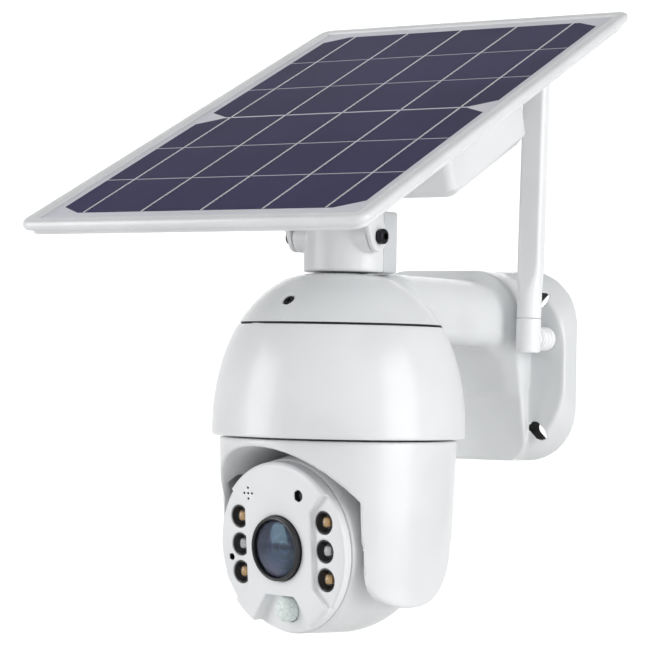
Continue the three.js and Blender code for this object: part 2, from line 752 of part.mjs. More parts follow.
const lamp_board_back = 26.6;
const lamp_board_front = lamp_board_back + 1.6;

function lampBoard() {
  return ahead(ring(LENS.radius + 0.8, 36, lamp_board_back, lamp_board_front, 28));
}

function lamp({ x, z }) {
  const r = LAMP.radius;
  const low = lamp_board_front + GAP;
  const rim = FACE.d - STRIP.deep - 0.4;
  const profile = [
    [0, low], [r, low], [r, rim], [r - 0.5, rim], [3, low + 2.6], [2.4, low + 2.6],
    [2.4, low + 3.4], [1.7, low + 4.8], [0, low + 5.4],
  ];
  return at(ahead(lathe(profile, 12)), x, 0, z);
}

function lensBarrel() {
  const r = LENS.radius;
  const f = LENS.front;
  const bore = LENS.glass + 0.4;
  const back = 18;
  return ahead(lathe([
    [bore, back], [r - 2.2, back], [r - 2.2, 30.6], [r, 30.6], [r, f - 0.8], [r - 0.8, f],
    [r - 1.7, f], [r - 2.6, f - 2], [bore + 0.8, f - 4.8], [bore, f - 5.2], [bore, back],
  ], 24));
}

function lensGlass() {
  const r = LENS.glass;
  const back = LENS.front - 9.4;
  return ahead(lathe([
    [0, back], [r, back], [r, back + 2.6], [r * 0.72, back + 3.9], [r * 0.36, back + 4.6],
    [0, back + 4.8],
  ], 20));
}

function pirLens() {
  const r = PIR.radius;
  const low = FACE.d - NOTCH.deep - 1.6;
  const profile = [
    [0, low], [r, low], [r, low + 1.8], [r - 0.7, low + 4.2], [r - 2.3, low + 6], [0, low + 7],
  ];
  return at(ahead(lathe(profile, 18)), PIR.x, 0, PIR.z);
}

function onLampBoard(x, z, radius, height) {
  const low = lamp_board_front + GAP;
  return at(ahead(disc(radius, low, low + height, 16)), x, 0, z);
}

const sensor_board_back = 12.5;

function sensorBoard() {
  return facing(
    raise(roundedRectangle(34, 34, 2), sensor_board_back, sensor_board_back + 1.6, 0, 3), "front",
  );
}

function imageSensor() {
  const back = sensor_board_back + 1.6 + GAP;
  return box(-5, 5, -back - 2, -back, -4, 4);
}

const tilt_centres = (MODULE * (TILT_GEAR.teeth + TILT_GEAR.pinion)) / 2 + GEAR_BACKLASH;

// The gear that stays with the yoke, on the stub that the head turns on; one tooth points back.
function tiltGear() {
  const low = TILT_GEAR.x;
  const gear = raise(gearShape(TILT_GEAR.teeth, Math.PI / 2, 0), low, low + TILT_GEAR.thick);
  const stub = disc(PIVOT.stub, -lobe_hole_end + GAP, low + 1, FINE);
  const turned = alongX(join(gear, stub)).rotateX(radians(TILT_AT_REST));
  return at(turned, 0, 0, HEAD.axis);
}

function tiltPinion() {
  const low = TILT_GEAR.x;
  const half_tooth = Math.PI / TILT_GEAR.pinion;
  const gear = raise(
    gearShape(TILT_GEAR.pinion, -Math.PI / 2 + half_tooth, 0), low, low + TILT_GEAR.thick,
  );
  return alongX(join(gear, disc(2, low + 1, low + TILT_GEAR.thick + 2, 12)));
}

function tiltMotor() {
  const start = TILT_GEAR.x + TILT_GEAR.thick + 2 + GAP + 1.6;
  const turned = alongX(motor(MOTOR.length - 1));
  return at(turned, start, tilt_centres - MOTOR.offset, 0);
}

function tiltPin() {
  const inside = HEAD.radius - HEAD.wall - 1.3;
  const end = lobe_hole_end - 1;
  return alongX(lathe([
    [0, inside - 2.5], [7, inside - 2.5], [7, inside], [PIVOT.radius, inside],
    [PIVOT.radius, end], [0, end],
  ], 16));
}

// ---------- antenna ----------

const nut_back = plate_front - GAP - ANTENNA.y;
const nut_front = ANTENNA.radius + 1.2;

function antennaNut() {
  const r = ANTENNA.radius;
  const profile = [[0, nut_front]];
  const ribs = 3;
  const pitch = (nut_back - nut_front - 1) / ribs;
  for (let i = 0; i < ribs; i++) {
    const y = nut_front + i * pitch;
    profile.push([r - 0.7, y], [r - 0.7, y + 0.3 * pitch], [r, y + 0.45 * pitch]);
    profile.push([r, y + 0.85 * pitch]);
  }
  profile.push([r - 0.7, nut_back - 1], [r - 0.7, nut_back], [0, nut_back]);
  return at(lathe(profile, 16).rotateX(-Math.PI / 2), ANTENNA.x, ANTENNA.y, ANTENNA.z);
}

function antennaKnuckle() {
  const r = ANTENNA.radius;
  const low = -ANTENNA.below;
  const post = lathe([
    [0, low], [r - 0.8, low], [r, low + 0.8], [r, ANTENNA.ring - 0.3], [0, ANTENNA.ring - 0.3],
  ], 20);
  const neck = disc(r - 1.5, 1, nut_front - 0.4, 24).rotateX(-Math.PI / 2);
  return join(post, neck);
}

function antennaBlade() {
  const r = ANTENNA.radius;
  const foot = lathe([
    [0, ANTENNA.ring], [r, ANTENNA.ring], [r, BLADE.start], [r - 1.6, BLADE.start + 6],
    [0, BLADE.start + 6],
  ], 20);
  const section = roundedRectangle(BLADE.width, BLADE.thick, BLADE.corner);
  return join(foot, raise(section, BLADE.start, ANTENNA.top, 1.5, 3));
}

// ---------- the assembly ----------

const camera = new THREE.Group();
const fixed = frameAt(camera, 0, -REACH, -PLATE.above_rim);

node(fixed, "upper_housing", upperHousing(), silver);
node(fixed, "cap_screw", capScrew(), steel);
node(fixed, "seam_gasket", ring(
  domeRadius(cap_bottom, -WALL) + 0.2, domeRadius(cap_bottom) - 0.4,
  dome_top + GAP, cap_bottom - GAP,
), black);
node(fixed, "dome_shell", domeShell(), white);
node(fixed, "main_board", mainBoard(), board);
node(fixed, "speaker", speaker(), black);
node(fixed, "pan_motor", panMotor(), steel);
node(fixed, "pan_bearing", ring(
  HUB.radius + 0.4, DOME.hole - GAP, 0.2, PAN_GEAR.low - GAP, 24,
), nylon);
node(fixed, "mast_front_shell", mastShell(true), white);
node(fixed, "mast_rear_shell", mastShell(false), grey);
node(fixed, "mast_bolt_left", mastBolt(-1), black);
node(fixed, "mast_bolt_right", mastBolt(1), black);
node(fixed, "antenna_nut", antennaNut(), white);
node(frameAt(fixed, 0, pan_centres, 0), "pan_pinion", panPinion(), nylon);

const yoke = frameAt(fixed, 0, 0, 0);
yoke.rotation.z = radians(PAN_AT_REST);
node(yoke, "yoke_shell", yokeShell(), white);
node(yoke, "yoke_rear_cover", yokeRearCover(), white);
node(yoke, "pan_gear", panGear(), nylon);
node(yoke, "tilt_gear", tiltGear(), nylon);
node(yoke, "tilt_bush", tiltBush(), nylon);

const head = frameAt(yoke, 0, 0, HEAD.axis);
head.rotation.x = radians(TILT_AT_REST);
node(head, "head_shell", headShell(), white);
node(head, "face_plate", facePlate(), white);
node(head, "lens_barrel", lensBarrel(), black);
node(head, "lens_glass", lensGlass(), glass);
node(head, "lamp_board", lampBoard(), board);
for (const one of LAMPS) node(head, one.name, lamp(one), one.row === 1 ? clear : amber);
node(head, "pir_lens", pirLens(), lens_white);
node(head, "pir_sensor", onLampBoard(PIR.x, PIR.z, 4.1, 3.2), steel);
node(head, "light_sensor", onLampBoard(LIGHT.x, LIGHT.z, LIGHT.radius, 8), black);
node(head, "microphone", onLampBoard(MIC.x, MIC.z, MIC.radius, 2.4), steel);
node(head, "sensor_board", sensorBoard(), board);
node(head, "image_sensor", imageSensor(), black);
node(head, "tilt_motor", tiltMotor(), steel);
node(head, "tilt_pin", tiltPin(), steel);
node(frameAt(head, 0, tilt_centres, 0), "tilt_pinion", tiltPinion(), nylon);

const panel = frameAt(fixed, 0, BOLT.y, BOLT.z);
panel.rotation.x = radians(PANEL.tilt);
node(panel, "panel_frame", panelFrame(), white);
node(panel, "solar_laminate", solarLaminate(), cells);
node(panel, "panel_back", panelBack(), white);
node(panel, "panel_bracket", panelBracket(), white);
node(panel, "battery_box", batteryBox(), white);
for (let i = 0; i < CELL.count; i++) node(panel, `battery_cell_${i + 1}`, batteryCell(i), wrap);
node(panel, "charge_board", chargeBoard(), board);

const antenna = frameAt(fixed, ANTENNA.x, ANTENNA.y, ANTENNA.z);
antenna.rotation.y = radians(ANTENNA.lean);
node(antenna, "antenna_knuckle", antennaKnuckle(), white);
node(antenna, "antenna_blade", antennaBlade(), white);

export default camera;
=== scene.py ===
import json
import math

import bmesh
import bpy
import numpy as np
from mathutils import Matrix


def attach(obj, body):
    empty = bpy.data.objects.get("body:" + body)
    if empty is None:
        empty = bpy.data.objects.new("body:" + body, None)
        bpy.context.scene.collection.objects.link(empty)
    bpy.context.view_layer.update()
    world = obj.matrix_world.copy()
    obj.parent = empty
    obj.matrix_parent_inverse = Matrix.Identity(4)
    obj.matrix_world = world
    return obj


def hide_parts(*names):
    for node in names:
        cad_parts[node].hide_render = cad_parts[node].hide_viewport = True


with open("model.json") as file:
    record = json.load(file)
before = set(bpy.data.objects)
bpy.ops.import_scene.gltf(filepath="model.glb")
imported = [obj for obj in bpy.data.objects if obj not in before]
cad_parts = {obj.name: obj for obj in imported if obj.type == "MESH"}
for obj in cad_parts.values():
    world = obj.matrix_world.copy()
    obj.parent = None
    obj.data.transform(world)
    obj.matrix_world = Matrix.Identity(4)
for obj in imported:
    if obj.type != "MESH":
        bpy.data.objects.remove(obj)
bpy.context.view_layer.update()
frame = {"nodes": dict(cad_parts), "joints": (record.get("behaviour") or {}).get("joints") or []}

import openvdb
from mathutils import Matrix, Vector

bl_info = {
    "name": "Solar Pan and Tilt Camera",
    "version": (1, 0, 0),
    "blender": (4, 5, 0),
    "location": "View3D > Sidebar > Camera",
    "description": "Builds the casings, optics, solar panel and antenna of a wall-mounted camera",
    "category": "Add Mesh",
}

MM = 0.001
joints = {joint["name"]: joint for joint in frame["joints"]}


# ---------- frames of the moving parts, in millimetres ----------

def joint_origin(name):
    return [c / MM for c in joints[name]["pos_m"]]


def place(origin, *turns):
    """A frame at an origin, turned by (degrees, axis) one after the other."""
    matrix = Matrix.Translation(Vector(origin))
    for degrees, axis in turns:
        matrix = matrix @ Matrix.Rotation(math.radians(degrees), 4, axis)
    return matrix


tilt_axis = joints["tilt"]["axis"]
PAN_TURN = math.degrees(math.atan2(tilt_axis[1], tilt_axis[0]))
HEAD_DOWN = 4.8
PANEL_TILT = 24.84
ANTENNA_LEAN = 1

HOUSING = place(joint_origin("pan"))
YOKE = place(joint_origin("pan"), (PAN_TURN, "Z"))
HEAD = place(joint_origin("tilt"), (PAN_TURN, "Z"), (HEAD_DOWN, "X"))
PANEL = place(joint_origin("panel_tilt"), (PANEL_TILT, "X"))
ANTENNA = place(joint_origin("antenna_swivel"), (ANTENNA_LEAN, "Y"))
AHEAD = Matrix.Rotation(math.pi / 2, 4, "X")  # turns Z to -Y
ALONG_X = Matrix.Rotation(math.pi / 2, 4, "Y")
ALONG_Y = Matrix.Rotation(-math.pi / 2, 4, "X")


# ---------- meshes ----------

class Shape:
    """Points in a part's own millimetres, with faces that each have a paint."""

    def __init__(self):
        self.points = []
        self.faces = []
        self.paints = []

    def add(self, made, paint=0, where=Matrix.Identity(4)):
        points, faces = made
        start = len(self.points)
        turn = np.array(where.to_3x3())
        moved = np.asarray(points, float) @ turn.T + np.array(where.translation)
        self.points.extend(map(tuple, moved))
        self.faces.extend(tuple(start + i for i in face) for face in faces)
        self.paints.extend([paint] * len(faces))
        return self

    def mesh(self, name, home):
        made = bpy.data.meshes.new(name)
        made.from_pydata(self.points, [], self.faces)
        made.polygons.foreach_set("material_index", self.paints)
        made.transform(Matrix.Scale(MM, 4) @ home)
        return made

    def piece(self, name, home, paints, body, replaces=(), slot=None, sharp=35):
        return dress(name, self.mesh(name, home), paints, body, replaces, sharp)


def cut_away(mesh, cutter):
    """The mesh without what the cutter holds, with exact edges."""
    pair = [bpy.data.objects.new(m.name + "_cut", close_up(m)) for m in (mesh, cutter)]
    for each in pair:
        bpy.context.scene.collection.objects.link(each)
    modifier = pair[0].modifiers.new("Cut", "BOOLEAN")
    modifier.operation = "DIFFERENCE"
    modifier.solver = "MANIFOLD"
    modifier.object = pair[1]
    ready = pair[0].evaluated_get(bpy.context.evaluated_depsgraph_get())
    made = bpy.data.meshes.new_from_object(ready)
    made.materials.clear()
    for each in pair:
        each.modifiers.clear()
        bpy.data.objects.remove(each)
    return made


def paint_hollow_shade(mesh, home, distance, near):
    """Gives the faces that line a piece's hollows its second paint, a black painted shade for their dark
    insides.
    """
    back = np.array(home.inverted())
    centres = np.array([face.center for face in mesh.polygons]) / MM
    local = centres @ back[:3, :3].T + back[:3, 3]
    inside = distance(*local.T) < near
    mesh.polygons.foreach_set("material_index", inside.astype(np.int32))
    mesh.update()


def close_up(mesh):
    """Merges the points that meet, and turns every face outwards."""
    tidy = bmesh.new()
    tidy.from_mesh(mesh)
    bmesh.ops.remove_doubles(tidy, verts=tidy.verts, dist=1e-7)
    bmesh.ops.recalc_face_normals(tidy, faces=tidy.faces)
    tidy.to_mesh(mesh)
    tidy.free()
    return mesh


def dress(name, mesh, paints, body, replaces=(), sharp=35):
    """Smooths a mesh in metres, and makes it a piece that rides on its body."""
    close_up(mesh)
    for paint in paints:
        mesh.materials.append(paint)
    mesh.shade_smooth()
    mesh.set_sharp_from_angle(angle=math.radians(sharp))
    made = bpy.data.objects.new(name, mesh)
    bpy.context.scene.collection.objects.link(made)
    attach(made, body)
    if replaces:
        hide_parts(*replaces)
    return made


def skin(loops, closed=False):
    """Quads between loops of points; a loop of one point closes a pole, open ends get a flat face."""
    points, faces, rows = [], [], []
    for loop in loops:
        rows.append(range(len(points), len(points) + len(loop)))
        points.extend(map(tuple, loop))
    pairs = list(zip(rows, rows[1:]))
    if closed:
        pairs.append((rows[-1], rows[0]))
    for a, b in pairs:
        n = max(len(a), len(b))
        for i in range(n):
            j = (i + 1) % n
            corners = [a[i % len(a)], a[j % len(a)], b[j % len(b)], b[i % len(b)]]
            faces.append(tuple(dict.fromkeys(corners)))
    if not closed:
        faces.extend(tuple(row) for row in (rows[0], rows[-1]) if len(row) > 2)
    return points, faces


def turned(profile, segments=96, closed=False):
    """A profile of (radius, height) turned about Z."""
    angles = np.linspace(0, 2 * math.pi, segments, endpoint=False)
    round_about = np.column_stack([np.cos(angles), np.sin(angles), np.zeros(segments)])
    loops = [
        [(0, 0, height)] if radius < 1e-6 else round_about * radius + (0, 0, height)
        for radius, height in profile
    ]
    return skin(loops, closed)


def soften(corners, closed=False, degrees=12):
    """A line through corners (x, y, radius) with the corners rounded."""
    made = []
    count = len(corners)
    for i, (x, y, radius) in enumerate(corners):
        if radius <= 0 or (not closed and i in (0, count - 1)):
            made.append((x, y))
            continue
        corner = Vector((x, y))
        back = Vector(corners[i - 1][:2]) - corner
        on = Vector(corners[(i + 1) % count][:2]) - corner
        half = back.angle(on) / 2
        reach = min(radius / math.tan(half), 0.49 * back.length, 0.49 * on.length)
        radius = reach * math.tan(half)
        centre = corner + (back.normalized() + on.normalized()).normalized() * (radius / math.sin(half))
        start = corner + back.normalized() * reach - centre
        end = corner + on.normalized() * reach - centre
        sweep = math.copysign(math.pi - 2 * half, start.cross(end))
        steps = max(2, math.ceil(abs(math.degrees(sweep)) / degrees))
        for k in range(steps + 1):
            point = centre + Matrix.Rotation(sweep * k / steps, 2) @ start
            made.append((point.x, point.y))
    return made


def curve(start, handles, end, steps=12):
    """Points along a Bezier curve, without its start."""
    knots = [Vector(p) for p in (start, *handles, end)]
    made = []
    for i in range(1, steps + 1):
        row = knots
        while len(row) > 1:
            row = [a.lerp(b, i / steps) for a, b in zip(row, row[1:])]
        made.append(tuple(row[0]))
    return made


def frame_loop(half_x, half_y, radius, height, x=0, y=0, steps=8):
    """A rounded rectangle at a height."""
    radius = max(radius, 0.01)
    quarter = np.linspace(0, math.pi / 2, steps)
    made = []
    for turn, (sx, sy) in enumerate([(1, 1), (-1, 1), (-1, -1), (1, -1)]):
        angles = quarter + turn * math.pi / 2
        cx = x + sx * (half_x - radius)
        cy = y + sy * (half_y - radius)
        made.extend((cx + radius * math.cos(a), cy + radius * math.sin(a), height) for a in angles)
    return made


# ---------- solids given by a distance, with their edges rounded ----------

def together(a, b, radius=0):
    """Both solids, with a hollow fillet between them."""
    if radius == 0:
        return np.minimum(a, b)
    inner = np.hypot(np.maximum(radius - a, 0), np.maximum(radius - b, 0))
    return np.maximum(radius, np.minimum(a, b)) - inner


def shared(a, b, radius=0):
    """What both solids hold, with the edge between them rounded."""
    return -together(-a, -b, radius)


def without(a, b, radius=0):
    return shared(a, -b, radius)


def rectangle(x, y, half_x, half_y, radius=0):
    qx = np.abs(x) - half_x + radius
    qy = np.abs(y) - half_y + radius
    outside = np.hypot(np.maximum(qx, 0), np.maximum(qy, 0))
    return outside + np.minimum(np.maximum(qx, qy), 0) - radius


def polygon(x, y, corners):
    """Distance to a closed outline, negative inside."""
    x, y = np.broadcast_arrays(x, y)
    best = np.full(x.shape, 1e9)
    inside = np.zeros(x.shape, bool)
    for (ax, ay), (bx, by) in zip(corners, [*corners[1:], corners[0]]):
        ex, ey = bx - ax, by - ay
        wx, wy = x - ax, y - ay
        share = np.clip((wx * ex + wy * ey) / (ex * ex + ey * ey), 0, 1)
        best = np.minimum(best, (wx - share * ex) ** 2 + (wy - share * ey) ** 2)
        crosses = (ay > y) != (by > y)
        inside ^= crosses & (x < ex * (y - ay) / (ey or 1e-9) + ax)
    return np.where(inside, -1, 1) * np.sqrt(best)


def carved(distance, low, high, step):
    """The surface where a distance is zero, as quads whose corners lie on it."""
    axes = [np.arange(a - 2 * step, b + 2.5 * step, step) for a, b in zip(low, high)]
    x, y, z = np.meshgrid(*axes, indexing="ij", sparse=True)
    shape = [len(axis) for axis in axes]
    field = np.ascontiguousarray(np.broadcast_to(distance(x, y, z), shape), dtype=np.float32)
    grid = openvdb.FloatGrid(3 * step)
    grid.copyFromArray(field)
    points, quads = grid.convertToQuads(0.0)
    points = points.astype(float) * step + [axis[0] for axis in axes]
    tiny = 0.02 * step
    for _ in range(3):
        here = distance(*points.T)
        slope = np.column_stack([
            (distance(*(points + tiny * way).T) - here) / tiny for way in np.eye(3)
        ])
        steep = np.maximum((slope ** 2).sum(1), 0.2)
        move = -slope * (here / steep)[:, None]
        far = np.linalg.norm(move, axis=1, keepdims=True)
        points += move * np.minimum(1, 0.4 * step / np.maximum(far, 1e-9))
    return points, [tuple(map(int, quad)) for quad in quads]


# ---------- materials ----------

class Maths:
    """A socket in a node tree, whose operators add Math nodes."""

    def __init__(self, tree, socket):
        self.tree = tree
        self.socket = socket

    def _math(self, operation, *values):
        return self.tree.node("ShaderNodeMath", {"operation": operation}, dict(enumerate(values)))

    def __add__(self, other):
        return self._math("ADD", self, other)

    def __sub__(self, other):
        return self._math("SUBTRACT", self, other)

    def __rsub__(self, other):
        return self._math("SUBTRACT", other, self)

    def __mul__(self, other):
        return self._math("MULTIPLY", self, other)

    def __truediv__(self, other):
        return self._math("DIVIDE", self, other)

    __radd__ = __add__
    __rmul__ = __mul__

    def root(self):
        return self._math("SQRT", self)

    def repeat(self, step):
        """Distance from the nearest multiple of a step."""
        return self._math("PINGPONG", self, step / 2)

    def between(self, low, high):
        """A mask that rises smoothly from 0 at low to 1 at high."""
        settings = {"interpolation_type": "SMOOTHSTEP"}
        return self.tree.node("ShaderNodeMapRange", settings, {"Value": self, 1: low, 2: high})


class Finish:
    """A material, with one method that makes all its nodes."""

    def __init__(self, name, color=(0.8, 0.8, 0.8), **values):
        self.material = bpy.data.materials.new(name)
        self.material.use_nodes = True
        self.tree = self.material.node_tree
        self.tree.nodes.clear()
        self.surface = self.node("ShaderNodeBsdfPrincipled", {}, {"Base Color": (*color, 1)})
        for socket, value in values.items():
            self.feed(socket.replace("_", " "), value)
        self.node("ShaderNodeOutputMaterial", {}, {"Surface": self.surface})

    def node(self, kind, settings, values, output=0):
        made = self.tree.nodes.new(kind)
        for name, value in settings.items():
            setattr(made, name, value)
        for key, value in values.items():
            socket = made.inputs[key]
            if isinstance(value, Maths):
                self.tree.links.new(value.socket, socket)
            elif isinstance(value, tuple) and len(value) == 3 and len(socket.default_value) == 4:
                socket.default_value = (*value, 1)
            else:
                socket.default_value = value
        return Maths(self, made.outputs[output] if len(made.outputs) else None)

    def feed(self, socket, value):
        target = self.surface.socket.node.inputs[socket]
        if isinstance(value, Maths):
            self.tree.links.new(value.socket, target)
        else:
            target.default_value = value

    def place(self, home=None):
        """X, Y and Z in millimetres, in a part's own frame."""
        here = self.node("ShaderNodeTexCoord", {}, {}, "Object")
        home = home or Matrix.Identity(4)
        turn = home.to_3x3().transposed().to_euler("XYZ")
        back = -(home.to_3x3().transposed() @ home.translation)
        values = {"Vector": here, "Location": back, "Rotation": turn, "Scale": (1 / MM,) * 3}
        moved = self.node("ShaderNodeMapping", {}, values)
        parts = [self.node("ShaderNodeSeparateXYZ", {}, {"Vector": moved}, i) for i in range(3)]
        return moved, *parts

    def noise(self, where, size, detail=3.0, roughness=0.5):
        values = {"Vector": where, "Scale": 1 / size, "Detail": detail, "Roughness": roughness}
        return self.node("ShaderNodeTexNoise", {}, values)

    def mix(self, share, a, b):
        values = {0: share, 6: a, 7: b}
        return self.node("ShaderNodeMix", {"data_type": "RGBA"}, values, 2)

    def bump(self, height, distance, strength=1.0):
        values = {"Height": height, "Distance": distance * MM, "Strength": strength}
        self.feed("Normal", self.node("ShaderNodeBump", {}, values))


def moulded(name, color, rough, grain=0.35, depth=0.012, coat=0.0, drift=0.06):
    """Moulded plastic: a fine spark texture, with a slow drift in shade and gloss."""
    made = Finish(name, color, Coat_Weight=coat, Coat_Roughness=0.12, Specular_IOR_Level=0.5)
    where, *_ = made.place()
    slow = made.noise(where, 46, 2.0)
    fine = made.noise(where, grain, 4.0, 0.6)
    darker = tuple(c * (1 - drift) for c in color)
    made.feed("Base Color", made.mix(slow.between(0.35, 0.65), darker, color))
    made.feed("Roughness", rough + (slow - 0.5) * 0.12 + (fine - 0.5) * 0.1)
    made.bump(fine, depth, 0.5)
    return made.material


def metal(name, color, rough, grain=1.2):
    """Bare or plated metal with a fine grain in its gloss."""
    made = Finish(name, color, Metallic=1.0)
    where, *_ = made.place()
    fine = made.noise(where, grain, 4.0)
    made.feed("Roughness", rough + (fine - 0.5) * 0.16)
    made.bump(fine, 0.01, 0.4)
    return made.material


def solar_silicon(name):
    """Silicon with fine printed fingers across it, under a clear laminate."""
    made = Finish(name, Coat_Weight=0.16, Coat_Roughness=0.12, Coat_IOR=1.12, Specular_IOR_Level=0.02)
    where, _, y, _ = made.place(PANEL)
    grain = made.noise(where, 1.1, 4.0, 0.7)
    cloud = made.noise(where, 60, 2.0)
    dark = made.mix(cloud.between(0.3, 0.7), (0.022, 0.019, 0.072), (0.030, 0.026, 0.092))
    speck = made.mix(grain.between(0.45, 0.75) * 0.6, dark, (0.044, 0.038, 0.112))
    finger = 1 - y.repeat(1.9).between(0.05, 0.16)
    made.feed("Base Color", made.mix(finger * 0.16, speck, (0.18, 0.18, 0.27)))
    made.feed("Roughness", 0.34 + (grain - 0.5) * 0.2)
    made.bump(grain, 0.01, 0.3)
    return made.material


def coated_glass(name, center, edge):
    """Dark lens glass with a painted reflection of its coating, from a near-black middle to a purple
    edge, and paler rings.
    """
    made = Finish(name, Roughness=0.1, Coat_Weight=0.15, Coat_Roughness=0.1, IOR=1.3)
    _, x, _, z = made.place(HEAD)
    out = (x * x + z * z).root() / LENS["glass"]
    rings = 1 - (out * 2.6 + 0.28).repeat(1.0).between(0.04, 0.16)
    # painted reflection: the coating's purple tint painted into the colour, darker in the middle and
    # purple towards the edge
    painted_reflection = made.mix(out.between(0.2, 0.95), center, edge)
    made.feed("Base Color", made.mix(rings * 0.7, painted_reflection, (0.20, 0.24, 0.38)))
    made.feed("Roughness", 0.1 + out * 0.08)
    surface = made.surface.socket.node
    surface.inputs["Thin Film Thickness"].default_value = 300
    surface.inputs["Thin Film IOR"].default_value = 1.36
    return made.material


def clear_lens(name, tint, film=0.0, bend=1.46, rough=0.03):
    """Clear glass or plastic, with a thin coating where a film thickness is given."""
    made = Finish(name, tint, IOR=bend, Transmission_Weight=0.92)
    surface = made.surface.socket.node
    surface.inputs["Thin Film Thickness"].default_value = film
    surface.inputs["Thin Film IOR"].default_value = 1.42
    where, *_ = made.place()
    made.feed("Roughness", rough + made.noise(where, 3) * 0.03)
    return made.material


def glow(name, color, strength):
    """A lit-looking phosphor chip: bright paint with a faint light of its own."""
    made = Finish(name, color, Roughness=0.35, Emission_Strength=strength)
    where, *_ = made.place()
    fleck = made.noise(where, 0.4, 3.0)
    made.feed("Base Color", made.mix(fleck.between(0.35, 0.65), tuple(c * 0.8 for c in color), color))
    made.feed("Emission Color", (*color, 1))
    return made.material


def fresnel_dome(name):
    """Milky moulded lens with faint facets."""
    made = Finish(name, (0.78, 0.86, 0.83), Roughness=0.28, Subsurface_Weight=0.35, IOR=1.46)
    made.surface.socket.node.inputs["Subsurface Radius"].default_value = (0.002, 0.002, 0.002)
    where, *_ = made.place(HEAD)
    values = {"Vector": where, "Scale": 0.42}
    cell = made.node("ShaderNodeTexVoronoi", {"feature": "DISTANCE_TO_EDGE"}, values)
    edge = cell.between(0.0, 0.09)
    made.feed("Base Color", made.mix(edge, (0.62, 0.71, 0.68), (0.82, 0.89, 0.87)))
    made.bump(edge, 0.12, 0.5)
    return made.material


def circuit(name):
    """Green solder mask with tracks under it."""
    made = Finish(name, (0.01, 0.12, 0.05), Coat_Weight=0.4)
    where, x, *_ = made.place()
    track = 1 - x.repeat(3.2).between(0.2, 0.5)
    noise = made.noise(where, 6, 1.0)
    copper = track * noise.between(0.45, 0.55)
    made.feed("Base Color", made.mix(copper, (0.008, 0.09, 0.035), (0.03, 0.22, 0.1)))
    made.feed("Roughness", 0.35 + noise * 0.15)
    return made.material


def studio_white(name, color):
    made = Finish(name, color, Specular_IOR_Level=0.1)
    where, *_ = made.place()
    made.feed("Roughness", 0.85 + made.noise(where, 900) * 0.1)
    return made.material


PAINTS = {}


def mix_paints():
    shell, housing = tuple(settings().shell), tuple(settings().housing)
    PAINTS.update(
        white=moulded("white_moulded", shell, 0.30, coat=0.15),
        face=moulded("face_white", (0.84, 0.85, 0.865), 0.34, depth=0.006),
        silver=moulded("silver_moulded", housing, 0.24, coat=0.35, depth=0.008),
        grey=moulded("grey_moulded", (0.62, 0.635, 0.65), 0.36),
        frame=moulded("frame_white", (0.80, 0.81, 0.825), 0.26, coat=0.3, depth=0.004),
        backsheet=moulded("white_backsheet", (0.70, 0.70, 0.78), 0.45, coat=0.75, depth=0.002),
        mast=moulded("mast_white", (0.78, 0.79, 0.80), 0.33, coat=0.1),
        antenna=moulded("antenna_white", (0.90, 0.91, 0.92), 0.30, coat=0.2, depth=0.004),
        black=moulded("black_satin", (0.012, 0.012, 0.014), 0.32, coat=0.2, depth=0.004),
        # black used only as painted shade on the walls of the slots and the small holes
        ink=moulded("painted_hollow_shade", (0.004, 0.004, 0.005), 0.7, depth=0.004),
        rubber=moulded("gasket_rubber", (0.006, 0.006, 0.006), 0.65),
        nylon=moulded("natural_nylon", (0.74, 0.71, 0.62), 0.5),
        wrap=moulded("cell_sleeve", (0.03, 0.10, 0.36), 0.35, coat=0.3),
        silicon=solar_silicon("solar_silicon"),
        ribbon=metal("tinned_ribbon", (0.86, 0.87, 0.90), 0.28),
        steel=metal("plated_steel", (0.60, 0.61, 0.63), 0.3),
        # blackened steel for the mast bolts, and a painted shade on the cap screw in its pocket
        blackened=metal("blackened_steel", (0.03, 0.03, 0.034), 0.34),
        # near-black middle and purple edge of the glass: a painted reflection of its coating
        glass=coated_glass("coated_glass", (0.006, 0.006, 0.012), (0.020, 0.012, 0.040)),
        clear=clear_lens("clear_dome", (1.0, 0.98, 0.95)),
        front_glass=clear_lens("front_glass", (0.42, 0.46, 0.60), film=270, bend=1.34, rough=0.1),
        amber=glow("amber_chip", (0.62, 0.34, 0.07), 0.06),
        pale=glow("pale_chip", (0.62, 0.65, 0.70), 0.05),
        pir=fresnel_dome("milky_lens"),
        board=circuit("solder_mask"),
    )


def repaint(paint, *nodes):
    for name in nodes:
        slots = frame["nodes"][name].data.materials
        slots.clear()
        slots.append(PAINTS[paint])


# ---------- sizes shared by the pieces ----------

REACH = -joint_origin("pan")[1]  # wall to pan axis
ABOVE_RIM = -joint_origin("pan")[2]  # plate's middle over the dome's rim
DOME = {"radius": 59.0, "height": 78.2, "power": 2.27, "seam": 51.8, "gap": 1.05, "wall": 2.6}
CAP_LOW = DOME["seam"] + DOME["gap"] / 2
CAP_TOP = 75.9
BALL = {"axis": joint_origin("tilt")[2] - joint_origin("pan")[2], "radius": 43.5, "clear": 1.2}
FACE = {"radius": 39.4, "front": 38.6, "back": 31.5}
LAMP_X, LAMP_PITCH, LAMP_RADIUS = 27.0, 12.9, 5.2
LENS = {"radius": 14.7, "front": 41.4, "glass": 8.6}


def dome_radius(z, out=0.0):
    radius, height, p = DOME["radius"] + out, DOME["height"] + out, DOME["power"]
    return radius * (1 - (np.maximum(z, 0) / height) ** p) ** (1 / p)


def dome_distance(x, y, z, out=0.0):
    """Distance to the dome's superellipse, straight below its rim."""
    radius, height, p = DOME["radius"] + out, DOME["height"] + out, DOME["power"]
    across = np.maximum(np.hypot(x, y), 1e-3) / radius
    up = np.maximum(z, 0) / height
    level = (across ** p + up ** p) ** (1 / p)
    steep = np.hypot(across ** (p - 1) / radius, up ** (p - 1) / height) * level ** (1 - p)
    return (level - 1) / np.maximum(steep, 1e-4)


# ---------- repeats, as geometry nodes ----------

